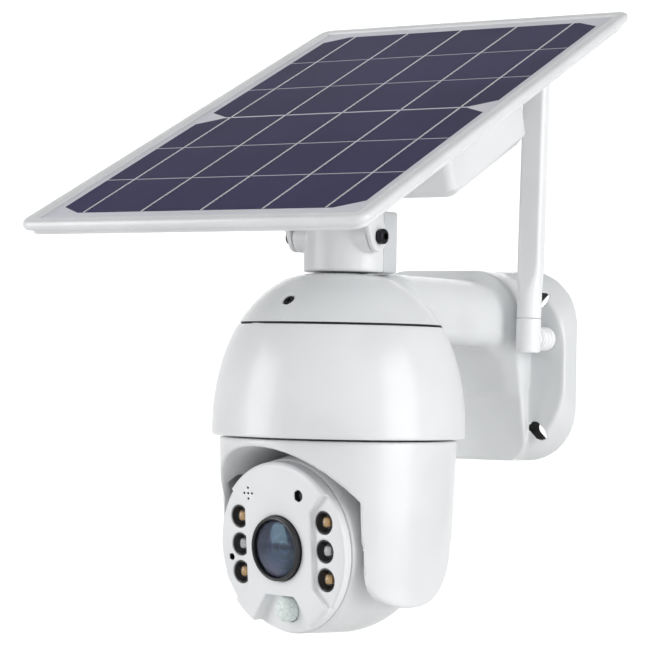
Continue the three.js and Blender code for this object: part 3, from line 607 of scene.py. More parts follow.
def new_tree(name, sizes):
    tree = bpy.data.node_groups.new(name, "GeometryNodeTree")
    tree.interface.new_socket("Geometry", in_out="INPUT", socket_type="NodeSocketGeometry")
    for label, kind in {**sizes, "Material": "NodeSocketMaterial"}.items():
        tree.interface.new_socket(label, in_out="INPUT", socket_type=kind)
    tree.interface.new_socket("Geometry", in_out="OUTPUT", socket_type="NodeSocketGeometry")
    given = tree.nodes.new("NodeGroupInput").outputs

    def add(kind, values, settings=None):
        made = tree.nodes.new(kind)
        for key, value in (settings or {}).items():
            setattr(made, key, value)
        for key, value in values.items():
            if isinstance(value, bpy.types.NodeSocket):
                tree.links.new(value, made.inputs[key])
            else:
                made.inputs[key].default_value = value
        return made.outputs

    def close(instances):
        real = add("GeometryNodeRealizeInstances", {"Geometry": instances})
        painted = add("GeometryNodeSetMaterial", {"Geometry": real[0], "Material": given["Material"]})
        add("NodeGroupOutput", {"Geometry": painted[0]})

    return tree, given, add, close


def rows_and_columns():
    """Copies of a mesh in rows along Y and columns along X, centred on its own place."""
    sizes = {
        "Columns": "NodeSocketInt", "Rows": "NodeSocketInt",
        "Column Pitch": "NodeSocketFloat", "Row Pitch": "NodeSocketFloat",
    }
    tree, given, add, close = new_tree("Rows And Columns", sizes)
    shape = given["Geometry"]
    for axis, (count, pitch) in enumerate([("Columns", "Column Pitch"), ("Rows", "Row Pitch")]):
        less = add("ShaderNodeMath", {0: given[count], 1: 1}, {"operation": "SUBTRACT"})[0]
        half = add("ShaderNodeMath", {0: less, 1: -0.5}, {"operation": "MULTIPLY"})[0]
        start = add("ShaderNodeMath", {0: half, 1: given[pitch]}, {"operation": "MULTIPLY"})[0]
        offset = add("ShaderNodeCombineXYZ", {axis: given[pitch]})[0]
        first = add("ShaderNodeCombineXYZ", {axis: start})[0]
        values = {"Count": given[count], "Start Location": first, "Offset": offset}
        line = add("GeometryNodeMeshLine", values, {"mode": "OFFSET"})[0]
        shape = add("GeometryNodeInstanceOnPoints", {"Points": line, "Instance": shape})[0]
    close(shape)
    return tree


def ring_of_copies():
    """Copies of a mesh turned evenly about Z."""
    tree, given, add, close = new_tree("Ring Of Copies", {"Count": "NodeSocketInt"})
    index = add("GeometryNodeInputIndex", {})[0]
    share = add("ShaderNodeMath", {0: index, 1: given["Count"]}, {"operation": "DIVIDE"})[0]
    angle = add("ShaderNodeMath", {0: share, 1: 2 * math.pi}, {"operation": "MULTIPLY"})[0]
    turn = add("ShaderNodeCombineXYZ", {2: angle})[0]
    points = add("GeometryNodePoints", {"Count": given["Count"]})[0]
    values = {"Points": points, "Instance": given["Geometry"], "Rotation": turn}
    close(add("GeometryNodeInstanceOnPoints", values)[0])
    return tree


def repeated(name, made, tree, sizes, paint, home, body, replaces=(), sharp=35):
    """A mesh repeated by a tree, then made plain and put in place."""
    mesh = bpy.data.meshes.new(name + "_one")
    mesh.from_pydata([tuple(p) for p in made[0]], [], made[1])
    seed = bpy.data.objects.new(name + "_one", mesh)
    bpy.context.scene.collection.objects.link(seed)
    modifier = seed.modifiers.new("Repeat", "NODES")
    modifier.node_group = tree
    sockets = {s.name: s.identifier for s in tree.interface.items_tree if s.in_out == "INPUT"}
    for label, value in {**sizes, "Material": PAINTS[paint]}.items():
        modifier[sockets[label]] = value
    ready = seed.evaluated_get(bpy.context.evaluated_depsgraph_get())
    plain = bpy.data.meshes.new_from_object(ready)
    seed.modifiers.clear()
    bpy.data.objects.remove(seed)
    plain.transform(Matrix.Scale(MM, 4) @ home)
    plain.materials.clear()
    return dress(name, plain, [PAINTS[paint]], body, replaces, sharp)


# ---------- dome and upper housing ----------

def make_dome():
    top = DOME["seam"] - DOME["gap"] / 2
    heights = np.linspace(2.2, top - 0.35, 40)
    outer = [(float(dome_radius(z)), float(z)) for z in heights]
    wall = DOME["wall"]
    inner = [(float(dome_radius(z, -wall)), float(z)) for z in np.linspace(top, wall, 16)]
    rim = soften([(22, 0, 0), (DOME["radius"], 0, 1.3), outer[0] + (0,)])
    lip = [(outer[-1][0] - 0.45, top)]
    profile = [(22, wall), (22, 0.3), (22.3, 0), *rim[1:], *outer[1:], *lip, *inner]
    shape = Shape().add(turned(profile, 160, closed=True))
    shape.piece("dome_cover", HOUSING, [PAINTS["white"]], "housing", ["dome_shell"], "white_shell", 50)


PLATE = {"half_x": 60.0, "half_z": 47.5, "corner": 26.0, "front_corner": 40.0, "thick": 12.0}
SLOT = {"half_long": 5.0, "half_wide": 3.1, "inset": 15.5}
BOSS = {"half": 39.3, "top_proud": 34.0, "corner": 20.0, "low_corner": 12.0}
ARM = {"half": 37.0, "shoulder": 18.0, "underside": 44.0, "wall": 3.2}


def slot_distance(x, y, z):
    """The four screw slots, each along its own diagonal of the plate."""
    turn = math.sqrt(0.5)
    long, wide = SLOT["half_long"], SLOT["half_wide"]
    slots = []
    for sx in (-1, 1):
        for sz in (-1, 1):
            across = x - sx * (PLATE["half_x"] - SLOT["inset"])
            up = z - ABOVE_RIM - sz * (PLATE["half_z"] - SLOT["inset"])
            along, aside = (across * sx + up * sz) * turn, (up * sx - across * sz) * turn
            slots.append(rectangle(along, aside, long, wide, wide))
    return np.maximum(np.minimum.reduce(slots), REACH - PLATE["thick"] - 4 - y)


def dome_room():
    """What the dome and the room above it take out of the moulding, as a profile to turn."""
    clear, low, top = 0.6, ABOVE_RIM - 2 * PLATE["half_z"], CAP_TOP - ARM["wall"]
    beside = [(float(dome_radius(z, clear)), float(z)) for z in np.linspace(0, CAP_LOW, 30)]
    above = [(float(dome_radius(z, -ARM["wall"])), float(z)) for z in np.linspace(CAP_LOW, top, 12)]
    return [(0, low), (DOME["radius"] + clear, low), *beside, *above, (0, top)]


def boss_front(z):
    """Where the boss's sloping front stands at a height."""
    rise = (z - ABOVE_RIM) / (2 * PLATE["half_z"]) + 0.5
    return REACH - PLATE["thick"] - rise * (BOSS["top_proud"] - PLATE["thick"])


def upper_housing_distance(x, y, z):
    """Cap, arm, boss and wall plate in one moulding, in the frame of the pan axis."""
    low, high = ABOVE_RIM - PLATE["half_z"], ABOVE_RIM + PLATE["half_z"] - 1
    front = REACH - PLATE["thick"]

    deep = np.clip((REACH - y) / PLATE["thick"], 0, 1)
    corner = PLATE["corner"] + (PLATE["front_corner"] - PLATE["corner"]) * deep
    across = rectangle(x, z - ABOVE_RIM, PLATE["half_x"] - deep, PLATE["half_z"] - deep, corner)
    plate = shared(shared(across, front - y, 1.2), y - REACH, 0.4)

    middle, tall = (low + high) / 2, (high - low) / 2
    corner = np.where(z > middle, BOSS["corner"], BOSS["low_corner"])
    outline = rectangle(x, z - middle, BOSS["half"], tall, corner)
    boss = shared(outline, (boss_front(z) - y) * 0.97, 1.4)
    boss = np.maximum(boss, y - REACH + 1)

    under, meet = ARM["underside"], 22
    level_end = (REACH - 46, under - 0.5)
    sweep = curve(level_end, [(REACH - 24, under - 1)], (boss_front(meet), meet))
    side = [(4, under), level_end, *sweep, (REACH, meet), (REACH, 110), (4, 110)]
    section = rectangle(x, z - CAP_TOP + 100, ARM["half"], 100, ARM["shoulder"])
    arm = shared(section, polygon(y, z, side), 9)

    cap = shared(dome_distance(x, y, z), z - CAP_TOP, 3)
    cap = np.maximum(cap, CAP_LOW - 4 - z)
    body = together(arm, boss, 7)
    body = together(body, plate, 1.2)
    body = together(body, cap, 0.5)

    body = without(body, slot_distance(x, y, z), 0.7)

    wall = ARM["wall"]
    hollow = [
        (DOME["radius"] + 4, under + 2 * wall), (REACH - 40, under + wall), (REACH - 25, under - 2),
        (boss_front(25) + wall, 25), (boss_front(low + 5) + wall, low + 5),
        (REACH + 3, low + 5), (REACH + 3, ABOVE_RIM - 8), (REACH - 6, ABOVE_RIM - 8),
        (REACH - 6, ABOVE_RIM + 8), (REACH + 3, ABOVE_RIM + 8), (REACH + 3, CAP_TOP),
        (DOME["radius"] + 4, CAP_TOP),
    ]
    inside = rectangle(x, z - CAP_TOP + wall + 100, ARM["half"] - wall, 100, ARM["shoulder"] - wall)
    body = without(body, np.maximum(polygon(y, z, hollow), inside), 0.8)

    # the cap screw's pocket, square to the cap's slope
    aside, out, up = cap_screw_frame(x, y, z)
    pocket = np.maximum(np.hypot(aside, up) - CAP_SCREW["pocket"], -CAP_SCREW["deep"] - out)
    return without(body, pocket, 0.9)


CAP_SCREW = {"height": 62.6, "turn": -6.4, "pocket": 2.9, "deep": 2.4}


def cap_screw_frame(x, y, z):
    """Place relative to the cap screw: across, out of the cap, and up along the cap."""
    h = CAP_SCREW["height"]
    slope = math.atan2(float(dome_radius(h - 1) - dome_radius(h + 1)), 2)
    a = math.radians(CAP_SCREW["turn"])
    across = x * math.cos(a) + y * math.sin(a)
    ahead = x * math.sin(a) - y * math.cos(a) - float(dome_radius(h))
    out = ahead * math.cos(slope) + (z - h) * math.sin(slope)
    up = (z - h) * math.cos(slope) - ahead * math.sin(slope)
    return across, out, up


def make_upper_housing():
    low = (-61, -60, ABOVE_RIM - PLATE["half_z"] - 1)
    high = (61, REACH + 1, ABOVE_RIM + PLATE["half_z"] + 1)
    moulding = Shape().add(carved(upper_housing_distance, low, high, settings().surface_step * 1.05))
    room = Shape().add(turned(dome_room(), 200))
    cut = cut_away(moulding.mesh("upper_casing", HOUSING), room.mesh("dome_room", HOUSING))
    paints = [PAINTS["silver"], PAINTS["ink"]]
    dress("upper_casing", cut, paints, "housing", ["upper_housing"], 45)
    # the walls of the screw slots get the black second paint, a painted shade for their dark insides
    paint_hollow_shade(cut, HOUSING, slot_distance, 0.08)


# ---------- mast ----------

BOLT = {"y": -5.0, "z": 92.5}
MAST = {"radius": 20.0, "parting": 4.3, "back": 18.6, "low": 76.3, "high": 105.0}


def mast_front_distance(x, y, z):
    outline = np.where(y < MAST["parting"], np.hypot(x, y - MAST["parting"]), np.abs(x)) - MAST["radius"]
    body = shared(outline, y - MAST["parting"], 0.5)
    tall = rectangle(z - (MAST["low"] + MAST["high"]) / 2, 0, (MAST["high"] - MAST["low"]) / 2, 9)
    body = shared(body, tall, 1.0)
    pad = shared(np.hypot(y - BOLT["y"], z - BOLT["z"]) - 7.2, np.abs(x) - MAST["radius"] - 0.1, 0.5)
    return together(body, pad, 0.6)


def mast_rear_distance(x, y, z):
    middle = MAST["back"] - 10
    outline = shared(rectangle(x, y - middle, MAST["radius"], 10, 3), MAST["parting"] + 0.35 - y, 0.5)
    tall = rectangle(z - (MAST["low"] + MAST["high"]) / 2, 0, (MAST["high"] - MAST["low"]) / 2, 9)
    return shared(outline, tall, 1.0)


def make_mast():
    r = MAST["radius"] + 1
    low, high = (-r, -17, MAST["low"] - 1), (r, 20, MAST["high"] + 1)
    for name, distance, node, paint, slot in (
        ("mast_front", mast_front_distance, "mast_front_shell", "mast", "white_shell"),
        ("mast_rear", mast_rear_distance, "mast_rear_shell", "grey", "grey_shell"),
    ):
        made = carved(distance, low, high, settings().surface_step * 0.7)
        Shape().add(made).piece(name, HOUSING, [PAINTS[paint]], "housing", [node], slot, 60)
    start, seat, end = 13.0, 23.4, 26.6
    shank, head_radius, key = 2.8, 3.6, 1.55
    head = soften([
        (0, end, 0), (1.5, end, 0), (head_radius, end - 0.3, 1.6),
        (head_radius, seat, 0.2), (shank, seat, 0),
    ])
    socket = [(0, end - 1.9), (key, end - 1.9), (key, end - 0.05)]
    profile = [*socket, *head[2:], (shank, start), (0, start)]
    bolt = turned(profile, 30)
    across = Shape().add(bolt, 0, ALONG_X)
    home = HOUSING @ Matrix.Translation((0, BOLT["y"], BOLT["z"]))
    repeated(
        "mast_bolts", (across.points, across.faces), ring_of_copies(), {"Count": 2}, "blackened",
        home, "housing", ["mast_bolt_left", "mast_bolt_right"],
    )


# ---------- yoke ----------

YOKE_SIZE = {"top": -0.9, "bottom": -75.5, "opening": 43.5, "arch": -4.2, "shoulder": -28.0, "wall": 3.0}
YOKE_RADII = (52.2, 53.4, 55.2)  # at its bottom, the tilt axis and its top
WINDOW = {"z": -22.5, "half_x": 24.3, "half_z": 13.8, "corner": 2, "from_y": 30, "gap": 0.4}


def yoke_radius(z):
    return np.interp(z, [YOKE_SIZE["bottom"], BALL["axis"], YOKE_SIZE["top"]], YOKE_RADII)


def window_distance(x, y, z, gap=0.0):
    """The opening in the yoke's rear that its cover fills."""
    half_x, half_z = WINDOW["half_x"] - gap, WINDOW["half_z"] - gap
    outline = rectangle(x, z - WINDOW["z"], half_x, half_z, WINDOW["corner"])
    return np.maximum(outline, WINDOW["from_y"] - y)


def yoke_side():
    axis, low, front = BALL["axis"], YOKE_SIZE["bottom"], -30.6
    edge = [(-70, 5), (-70, axis - 4.5), (front, axis - 4.5)]
    edge += curve(edge[-1], [(front, low)], (-4, low))
    edge += curve(edge[-1], [(18, low), (27, axis - 12)], (36, axis + 1))
    return [*edge, (70, axis + 7.5), (70, 5)]


def arch_outline():
    half, shoulder, top = YOKE_SIZE["opening"], YOKE_SIZE["shoulder"], YOKE_SIZE["arch"]
    edge = [(half, -200), (half, shoulder)]
    edge += curve(edge[-1], [(half - 6, shoulder + 10), (25, top)], (0, top))
    edge += curve(edge[-1], [(-25, top), (6 - half, shoulder + 10)], (-half, shoulder))
    return [*edge, (-half, -200)]


def yoke_distance(x, y, z):
    axis, half = BALL["axis"], YOKE_SIZE["opening"]
    out = np.hypot(x, y)
    outer = yoke_radius(z)
    body = shared(out - outer, z - YOKE_SIZE["top"], 0.9)
    body = shared(body, polygon(y, z, yoke_side()), 1.4)
    turn = np.hypot(y, z - axis)
    recess = np.maximum(np.maximum(turn - 40, out - outer + YOKE_SIZE["wall"]), 37.7 - np.abs(x))
    body = without(body, recess, 0.8)
    pivot = np.maximum(np.maximum(turn - 10, 44.6 - np.abs(x)), out - outer + 1)
    body = together(body, pivot, 1)
    arch = np.maximum(polygon(x, z, arch_outline()), y)
    body = without(body, arch, 1.3)
    body = without(body, np.maximum(np.abs(x) - half, z - axis), 1.3)
    body = without(body, np.hypot(out, z - axis) - BALL["radius"] - BALL["clear"], 0.5)
    body = without(body, np.maximum(window_distance(x, y, z), outer - 3.6 - out), 0.4)
    hub = np.maximum(np.maximum(out - 16, z - 12), -2 - z)
    return np.maximum(together(body, hub), 8 - out)


def rear_cover_distance(x, y, z):
    out = np.hypot(x, y)
    outer = yoke_radius(z)
    plate = window_distance(x, y, z, WINDOW["gap"])
    return shared(plate, np.maximum(out - outer + 0.2, outer - 2.8 - out), 0.5)


def make_yoke():
    low = (-56, -56, YOKE_SIZE["bottom"] - 1)
    made = carved(yoke_distance, low, (56, 56, 13), settings().surface_step)
    Shape().add(made).piece("yoke", YOKE, [PAINTS["white"]], "yoke", ["yoke_shell"], "white_shell", 60)
    made = carved(rear_cover_distance, (-25, 45, -37), (25, 56, -8), settings().surface_step * 0.7)
    Shape().add(made).piece(
        "yoke_cover", YOKE, [PAINTS["white"]], "yoke", ["yoke_rear_cover"], "white_shell", 60
    )


# ---------- camera head ----------

STRIP = {"half": 20.9, "straight": 17.0, "reach_x": 28.5, "reach_z": 25.0, "deep": 2.5}
NOTCH = {"top": -21.7, "top_half": 9.0, "low": -33.0, "low_half": 17.0, "deep": 4.4}
PIR = {"x": 0.5, "z": -28.2, "radius": 5.9}
LIGHT = {"x": 14.2, "z": 24.6, "radius": 2.4}
MIC = {"x": -18.1, "z": 24.3, "pitch": 2.5, "radius": 0.6}
RESET = {"x": -33.0, "z": -6.3, "radius": 1.5}


def make_ball():
    r, wall = BALL["radius"], 2.4
    around = np.radians(np.linspace(-90, 12, 54))
    outer = [(r * math.cos(a), r * math.sin(a)) for a in around]
    outer[0] = (0, -r)
    mouth, end = 39.6, 31.1
    nose = curve(outer[-1], [(41.9, 15.5), (41.0, 23.0)], (40.3, 27.0), 10)
    nose += [(mouth + 0.3, end - 0.3), (mouth, end)]
    inner = [(mouth - wall, end), (36.5, 16.0), (0, 14.0)]
    shape = Shape().add(turned([*outer, *nose, *inner], 144), 0, AHEAD)
    shape.piece("head_ball", HEAD, [PAINTS["white"]], "head", ["head_shell"], "white_shell", 50)


def face_distance(x, y, z):
    """The face plate: a raised middle band between two low strips, with its holes."""
    ahead = -y
    front = FACE["front"]
    out = np.hypot(x, z)
    body = shared(out - FACE["radius"], ahead - front, 2.2)
    body = shared(body, FACE["back"] - ahead, 0.4)
    s = STRIP
    far = FACE["radius"] + 3
    edge = [
        (far, s["reach_z"] + 1), (s["reach_x"], s["reach_z"]), (s["half"], s["straight"]),
        (s["half"], -s["straight"]), (s["reach_x"], -s["reach_z"]), (far, -s["reach_z"] - 1),
    ]
    strip = shared(polygon(np.abs(x), z, edge), front - s["deep"] - ahead, 0.7)
    body = without(body, strip, 0.8)
    n = NOTCH
    spread = (n["low_half"] - n["top_half"]) / (n["top"] - n["low"])
    wide = n["top_half"] + spread * (n["top"] + far)
    corner = [(-n["top_half"], n["top"]), (-wide, -far), (wide, -far), (n["top_half"], n["top"])]
    slope = (n["top"] - z) * 0.1
    notch = shared(polygon(x, z, corner), front - n["deep"] - slope - ahead, 0.6)
    body = without(body, notch, 0.7)
    holes = [(0, 0, LENS["radius"] + 0.3, 0.5), (PIR["x"], PIR["z"], PIR["radius"] + 0.25, 0.3)]
    lamps = [(sx * LAMP_X, k * LAMP_PITCH) for sx in (-1, 1) for k in (-1, 0, 1)]
    holes += [(lx, lz, LAMP_RADIUS + 0.2, 0.3) for lx, lz in lamps]
    for hx, hz, radius, edge in [*holes, *small_holes()]:
        body = without(body, np.hypot(x - hx, z - hz) - radius, edge)
    return body


def small_holes():
    """The light sensor's, the reset button's and the microphone's holes: place, radius and edge."""
    pitch = MIC["pitch"]
    crossed = [(0, 0), (pitch, 0), (-pitch, 0), (0, pitch), (0, -pitch)]
    return [
        (LIGHT["x"], LIGHT["z"], LIGHT["radius"] + 0.1, 0.4),
        (RESET["x"], RESET["z"], RESET["radius"], 0.3),
        *[(MIC["x"] + across, MIC["z"] + up, MIC["radius"], 0.1) for across, up in crossed],
    ]


def small_hole_distance(x, _, z):
    return np.minimum.reduce([np.hypot(x - hx, z - hz) - radius for hx, hz, radius, _ in small_holes()])


def make_face():
    r = FACE["radius"] + 0.5
    low, high = (-r, -FACE["front"] - 0.5, -r), (r, -FACE["back"] + 0.5, r)
    made = carved(face_distance, low, high, settings().surface_step * 0.5)
    paints = [PAINTS["face"], PAINTS["ink"]]
    face = Shape().add(made).piece("face", HEAD, paints, "head", ["face_plate"], "face_white", 60)
    # the walls of the small holes get the black second paint, a painted shade for their dark insides
    paint_hollow_shade(face.data, HEAD, small_hole_distance, 0.15)


def make_lens():
    r, f = LENS["radius"], LENS["front"]
    bore = r - 1.5
    barrel = soften([
        (r - 2.2, 18, 0), (r - 2.2, 31.6, 0.2), (r, 31.6, 0.3), (r, f - 0.2, 0.7), (r - 1.0, f, 0.5),
        (bore, f - 0.5, 0.3), (bore, f - 3.2, 0.3), (bore - 0.8, f - 3.5, 0.3),
        (bore - 1.4, f - 5.4, 0.3), (bore - 4.2, f - 5.8, 0.3), (bore - 4.8, f - 8, 0),
        (5, f - 9, 0), (5, 18, 0),
    ], degrees=20)
    shape = Shape().add(turned(barrel, 120, closed=True), 0, AHEAD)
    shape.piece("lens_hood", HEAD, [PAINTS["black"]], "head", ["lens_barrel"], "black_plastic", 30)
    rim = LENS["glass"]
    stack = soften([
        (0, f - 7.2, 0), (1.1, f - 7.3, 0.1), (1.5, f - 7.0, 0.1), (3.3, f - 6.9, 0.1),
        (3.7, f - 6.4, 0.1), (5.6, f - 6.2, 0.2), (6.0, f - 5.8, 0.1), (rim, f - 5.6, 0),
        (rim, f - 7.6, 0), (0, f - 7.8, 0),
    ], degrees=25)
    Shape().add(turned(stack, 96), 0, AHEAD).piece(
        "lens_stack", HEAD, [PAINTS["glass"]], "head", ["lens_glass"], "lens_glass", 25
    )
    edge, seat, proud = bore - 0.1, f - 2.6, 3.0
    bulge = [(edge * math.sin(a), seat + proud * math.cos(a)) for a in np.linspace(0, 1.5, 28)]
    bulge[0] = (0, bulge[0][1])
    Shape().add(turned([*bulge, (edge, seat - 0.1), (0, seat)], 96), 0, AHEAD).piece(
        "front_element", HEAD, [PAINTS["front_glass"]], "head", [], "lens_glass", 40
    )


def make_lamps():
    front = FACE["front"] - STRIP["deep"]
    r = LAMP_RADIUS
    cup = turned([
        (0, 28.6), (r, 28.6), (r, front - 0.5), (r - 0.35, front - 0.35), (r - 0.7, front - 0.6),
        (r - 1.3, front - 2.4), (r - 2.2, front - 3.3), (0, front - 3.5),
    ], 48)
    chip = skin([
        frame_loop(1.5, 1.5, 0.3, front - 3.5, steps=3), frame_loop(1.5, 1.5, 0.3, front - 2.6, steps=3),
        frame_loop(1.2, 1.2, 0.3, front - 2.4, steps=3),
    ])
    angles = np.linspace(0, math.pi / 2, 10)
    bulb = [(2.9 * math.sin(a), front - 3.3 + 2.7 * math.cos(a)) for a in angles]
    bulb[0] = (0, bulb[0][1])
    dome = turned([*bulb, (3.2, front - 3.3), (3.2, front - 3.6), (0, front - 3.6)], 36)
    nodes = [f"lamp_{side}_{row}" for side in ("left", "right") for row in ("upper", "middle", "lower")]
    tree = rows_and_columns()
    home = HEAD @ AHEAD
    both = {"Columns": 2, "Column Pitch": 2 * LAMP_X}
    three = {**both, "Rows": 3, "Row Pitch": LAMP_PITCH}
    outer_two = {**both, "Rows": 2, "Row Pitch": 2 * LAMP_PITCH}
    middle = {**both, "Rows": 1, "Row Pitch": LAMP_PITCH}
    repeated("lamp_cups", cup, tree, three, "black", home, "head", nodes)
    repeated("lamp_domes", dome, tree, three, "clear", home, "head", [])
    repeated("amber_chips", chip, tree, outer_two, "amber", home, "head", [])
    repeated("pale_chips", chip, tree, middle, "pale", home, "head", [])


def make_pir():
    r, front = PIR["radius"], FACE["front"] - NOTCH["deep"]
    angles = np.linspace(0, math.pi / 2, 16)
    dome = [(r * math.sin(a) ** 0.9, front + 0.9 + 4.6 * math.cos(a)) for a in angles]
    dome[0] = (0, dome[0][1])
    profile = [*dome, (r, front - 1.5), (0, front - 1.5)]
    home = HEAD @ Matrix.Translation((PIR["x"], 0, PIR["z"]))
    Shape().add(turned(profile, 64), 0, AHEAD).piece(
        "motion_sensor_dome", home, [PAINTS["pir"]], "head", ["pir_lens"], "pir_white", 50
    )


# ---------- solar panel ----------

SOLAR = {
    "half_u": 82.5, "half_v": 133.0, "rim": 6.5, "corner": 7.0, "middle": 25.8,
    "face": 53.0, "thick": 4.4,
}
BATTERY = {"half_u": 62.0, "length": 83.2, "front": 8.8, "floor": 12.9, "top": 45.5, "draft": 0.055}
BACK_LOW, BACK_HIGH = 45.9, 48.3


def solar_loop(out, height, corner):
    return frame_loop(SOLAR["half_u"] + out, SOLAR["half_v"] + out, corner, height, 0, SOLAR["middle"])


def make_panel_frame():
    s = SOLAR
    top, low, rim = s["face"], s["face"] - s["thick"], s["rim"]
    profile = soften([
        (0, low, 0.2), (rim, low, 2.1), (rim, top, 2.1), (0.9, top, 0.7), (0.2, top - 0.9, 0.2),
    ], closed=True, degrees=15)
    loops = [solar_loop(out, height, max(s["corner"] - rim + out, 0.8)) for out, height in profile]
    Shape().add(skin(loops, closed=True)).piece(
        "panel_rim", PANEL, [PAINTS["frame"]], "panel", ["panel_frame"], "frame_white", 40
    )
    sheet = [(-1.3, 49.4), (-0.4, 49.4), (-0.3, 49.5), (-0.3, 51.4), (-0.4, 51.5)]
    loops = [solar_loop(out, height, 1.2) for out, height in sheet]
    Shape().add(skin(loops)).piece(
        "backsheet", PANEL, [PAINTS["backsheet"]], "panel", ["solar_laminate"], "solar_cells"
    )
    back = soften([(0, BACK_LOW, 0), (3.2, BACK_LOW, 0.9), (3.2, BACK_HIGH, 0.4), (0, BACK_HIGH, 0)])
    loops = [solar_loop(out, height, 5) for out, height in back]
    Shape().add(skin(loops)).piece(
        "panel_tray", PANEL, [PAINTS["white"]], "panel", ["panel_back"], "white_shell"
    )


CELL = {"width": 156.0, "rows": 3, "gap": 1.0, "chamfer": 12.0, "low": 51.45, "high": 51.58}
RIBBON = {"half": 0.55, "low": 51.5, "edge": 51.66, "top": 51.74, "pitch": 31.3, "count": 5}


def cell_outline(low, high, cut_low, cut_high, half, chamfer):
    """One cut cell, with the wafer's chamfers at its low or high corners."""
    steep = chamfer * 0.62
    right = [(half - chamfer, low), (half, low + steep)] if cut_low else [(half, low)]
    right += [(half, high - steep), (half - chamfer, high)] if cut_high else [(half, high)]
    return [*right, *[(-u, v) for u, v in reversed(right)]]


def make_solar_cells():
    pitch, gap, half = settings().cell_height, CELL["gap"], CELL["width"] / 2
    points, faces = [], []
    for row in range(CELL["rows"]):
        low = (row - CELL["rows"] / 2) * pitch + gap / 2
        first, last = row == 0, row == CELL["rows"] - 1
        outline = cell_outline(low, low + pitch - gap, first, last, half, CELL["chamfer"])
        layers = [[(u, v, height) for u, v in outline] for height in (CELL["low"], CELL["high"])]
        made, quads = skin(layers)
        faces += [tuple(len(points) + i for i in quad) for quad in quads]
        points += made
    home = PANEL @ Matrix.Translation((0, SOLAR["middle"] + 1.5, 0))
    tree = rows_and_columns()
    block_pitch = CELL["rows"] * pitch + 0.6
    sizes = {"Columns": 1, "Rows": 2, "Column Pitch": 0.0, "Row Pitch": block_pitch}
    repeated(
        "solar_cells", (points, faces), tree, sizes, "silicon", home, "panel", [], 20
    )
    half_length, narrow = (CELL["rows"] * pitch - 1.2) / 2, RIBBON["half"] - 0.15
    ribbon = skin([
        frame_loop(RIBBON["half"], half_length, 0.1, RIBBON["low"], steps=2),
        frame_loop(RIBBON["half"], half_length, 0.1, RIBBON["edge"], steps=2),
        frame_loop(narrow, half_length - 0.1, 0.1, RIBBON["top"], steps=2),
    ])
    sizes = {
        "Columns": RIBBON["count"], "Rows": 2, "Column Pitch": RIBBON["pitch"], "Row Pitch": block_pitch,
    }
    repeated("cell_ribbons", ribbon, tree, sizes, "ribbon", home, "panel", [], 20)


def make_battery_box():
    b = BATTERY
    half_v = b["length"] / 2
    middle = b["front"] + half_v

    def loop(inset, height, corner):
        return frame_loop(b["half_u"] - inset, half_v - inset, corner, height, 0, middle)

    high, low = b["top"], b["floor"]
    tall = high - low
    sides = [loop(b["draft"] * (high - height), height, 5) for height in np.linspace(high, low + 4.4, 5)]
    drawn = b["draft"] * tall
    slant = [
        loop(b["draft"] * (tall - 4) + 0.5, low + 3.9, 5),
        loop(drawn + 3.2, low + 0.7, 4), loop(drawn + 4.2, low + 0.12, 3.6),
    ]
    Shape().add(skin([*sides, *slant, loop(drawn + 5.4, low, 3)])).piece(
        "battery_case", PANEL, [PAINTS["white"]], "panel", ["battery_box"], "white_shell", 28
    )


EAR = {"inner": 20.5, "thick": 2.5, "radius": 7.0, "front": -26.0, "plate": 2.5}


def bracket_distance(u, v, n):
    top = BACK_LOW - 0.3
    under = top - EAR["plate"]
    r = EAR["radius"]
    side = soften([
        (-r, -r, r), (r, -r, r), (r, top, 0), (EAR["front"], top, 0), (EAR["front"], under, 1.5),
        (-r, under - 16, 4),
    ], closed=True)
    middle = EAR["inner"] + EAR["thick"] / 2
    ear = shared(polygon(v, n, side), np.abs(np.abs(u) - middle) - EAR["thick"] / 2, 0.6)
    outer = EAR["inner"] + EAR["thick"]
    plate = rectangle(u, v + 11, outer, 19, 2)
    plate = shared(plate, np.abs(n - (top + under) / 2) - EAR["plate"] / 2, 0.5)
    body = together(ear, plate, 1.5)
    body = np.maximum(body, n - top)
    return without(body, np.hypot(v, n) - 3.1, 0.3)


def make_bracket():
    made = carved(bracket_distance, (-24, -31, -8), (24, 9, 47), settings().surface_step * 0.7)
    Shape().add(made).piece(
        "panel_ears", PANEL, [PAINTS["mast"]], "panel", ["panel_bracket"], "white_shell", 60
    )


# ---------- antenna ----------

AERIAL = {
    "radius": 6.0, "low": -7.0, "ring": 9.7, "blade": 24.0, "top": 132.0, "half_x": 6.1, "half_y": 3.8,
    "corner": 1.9,
}


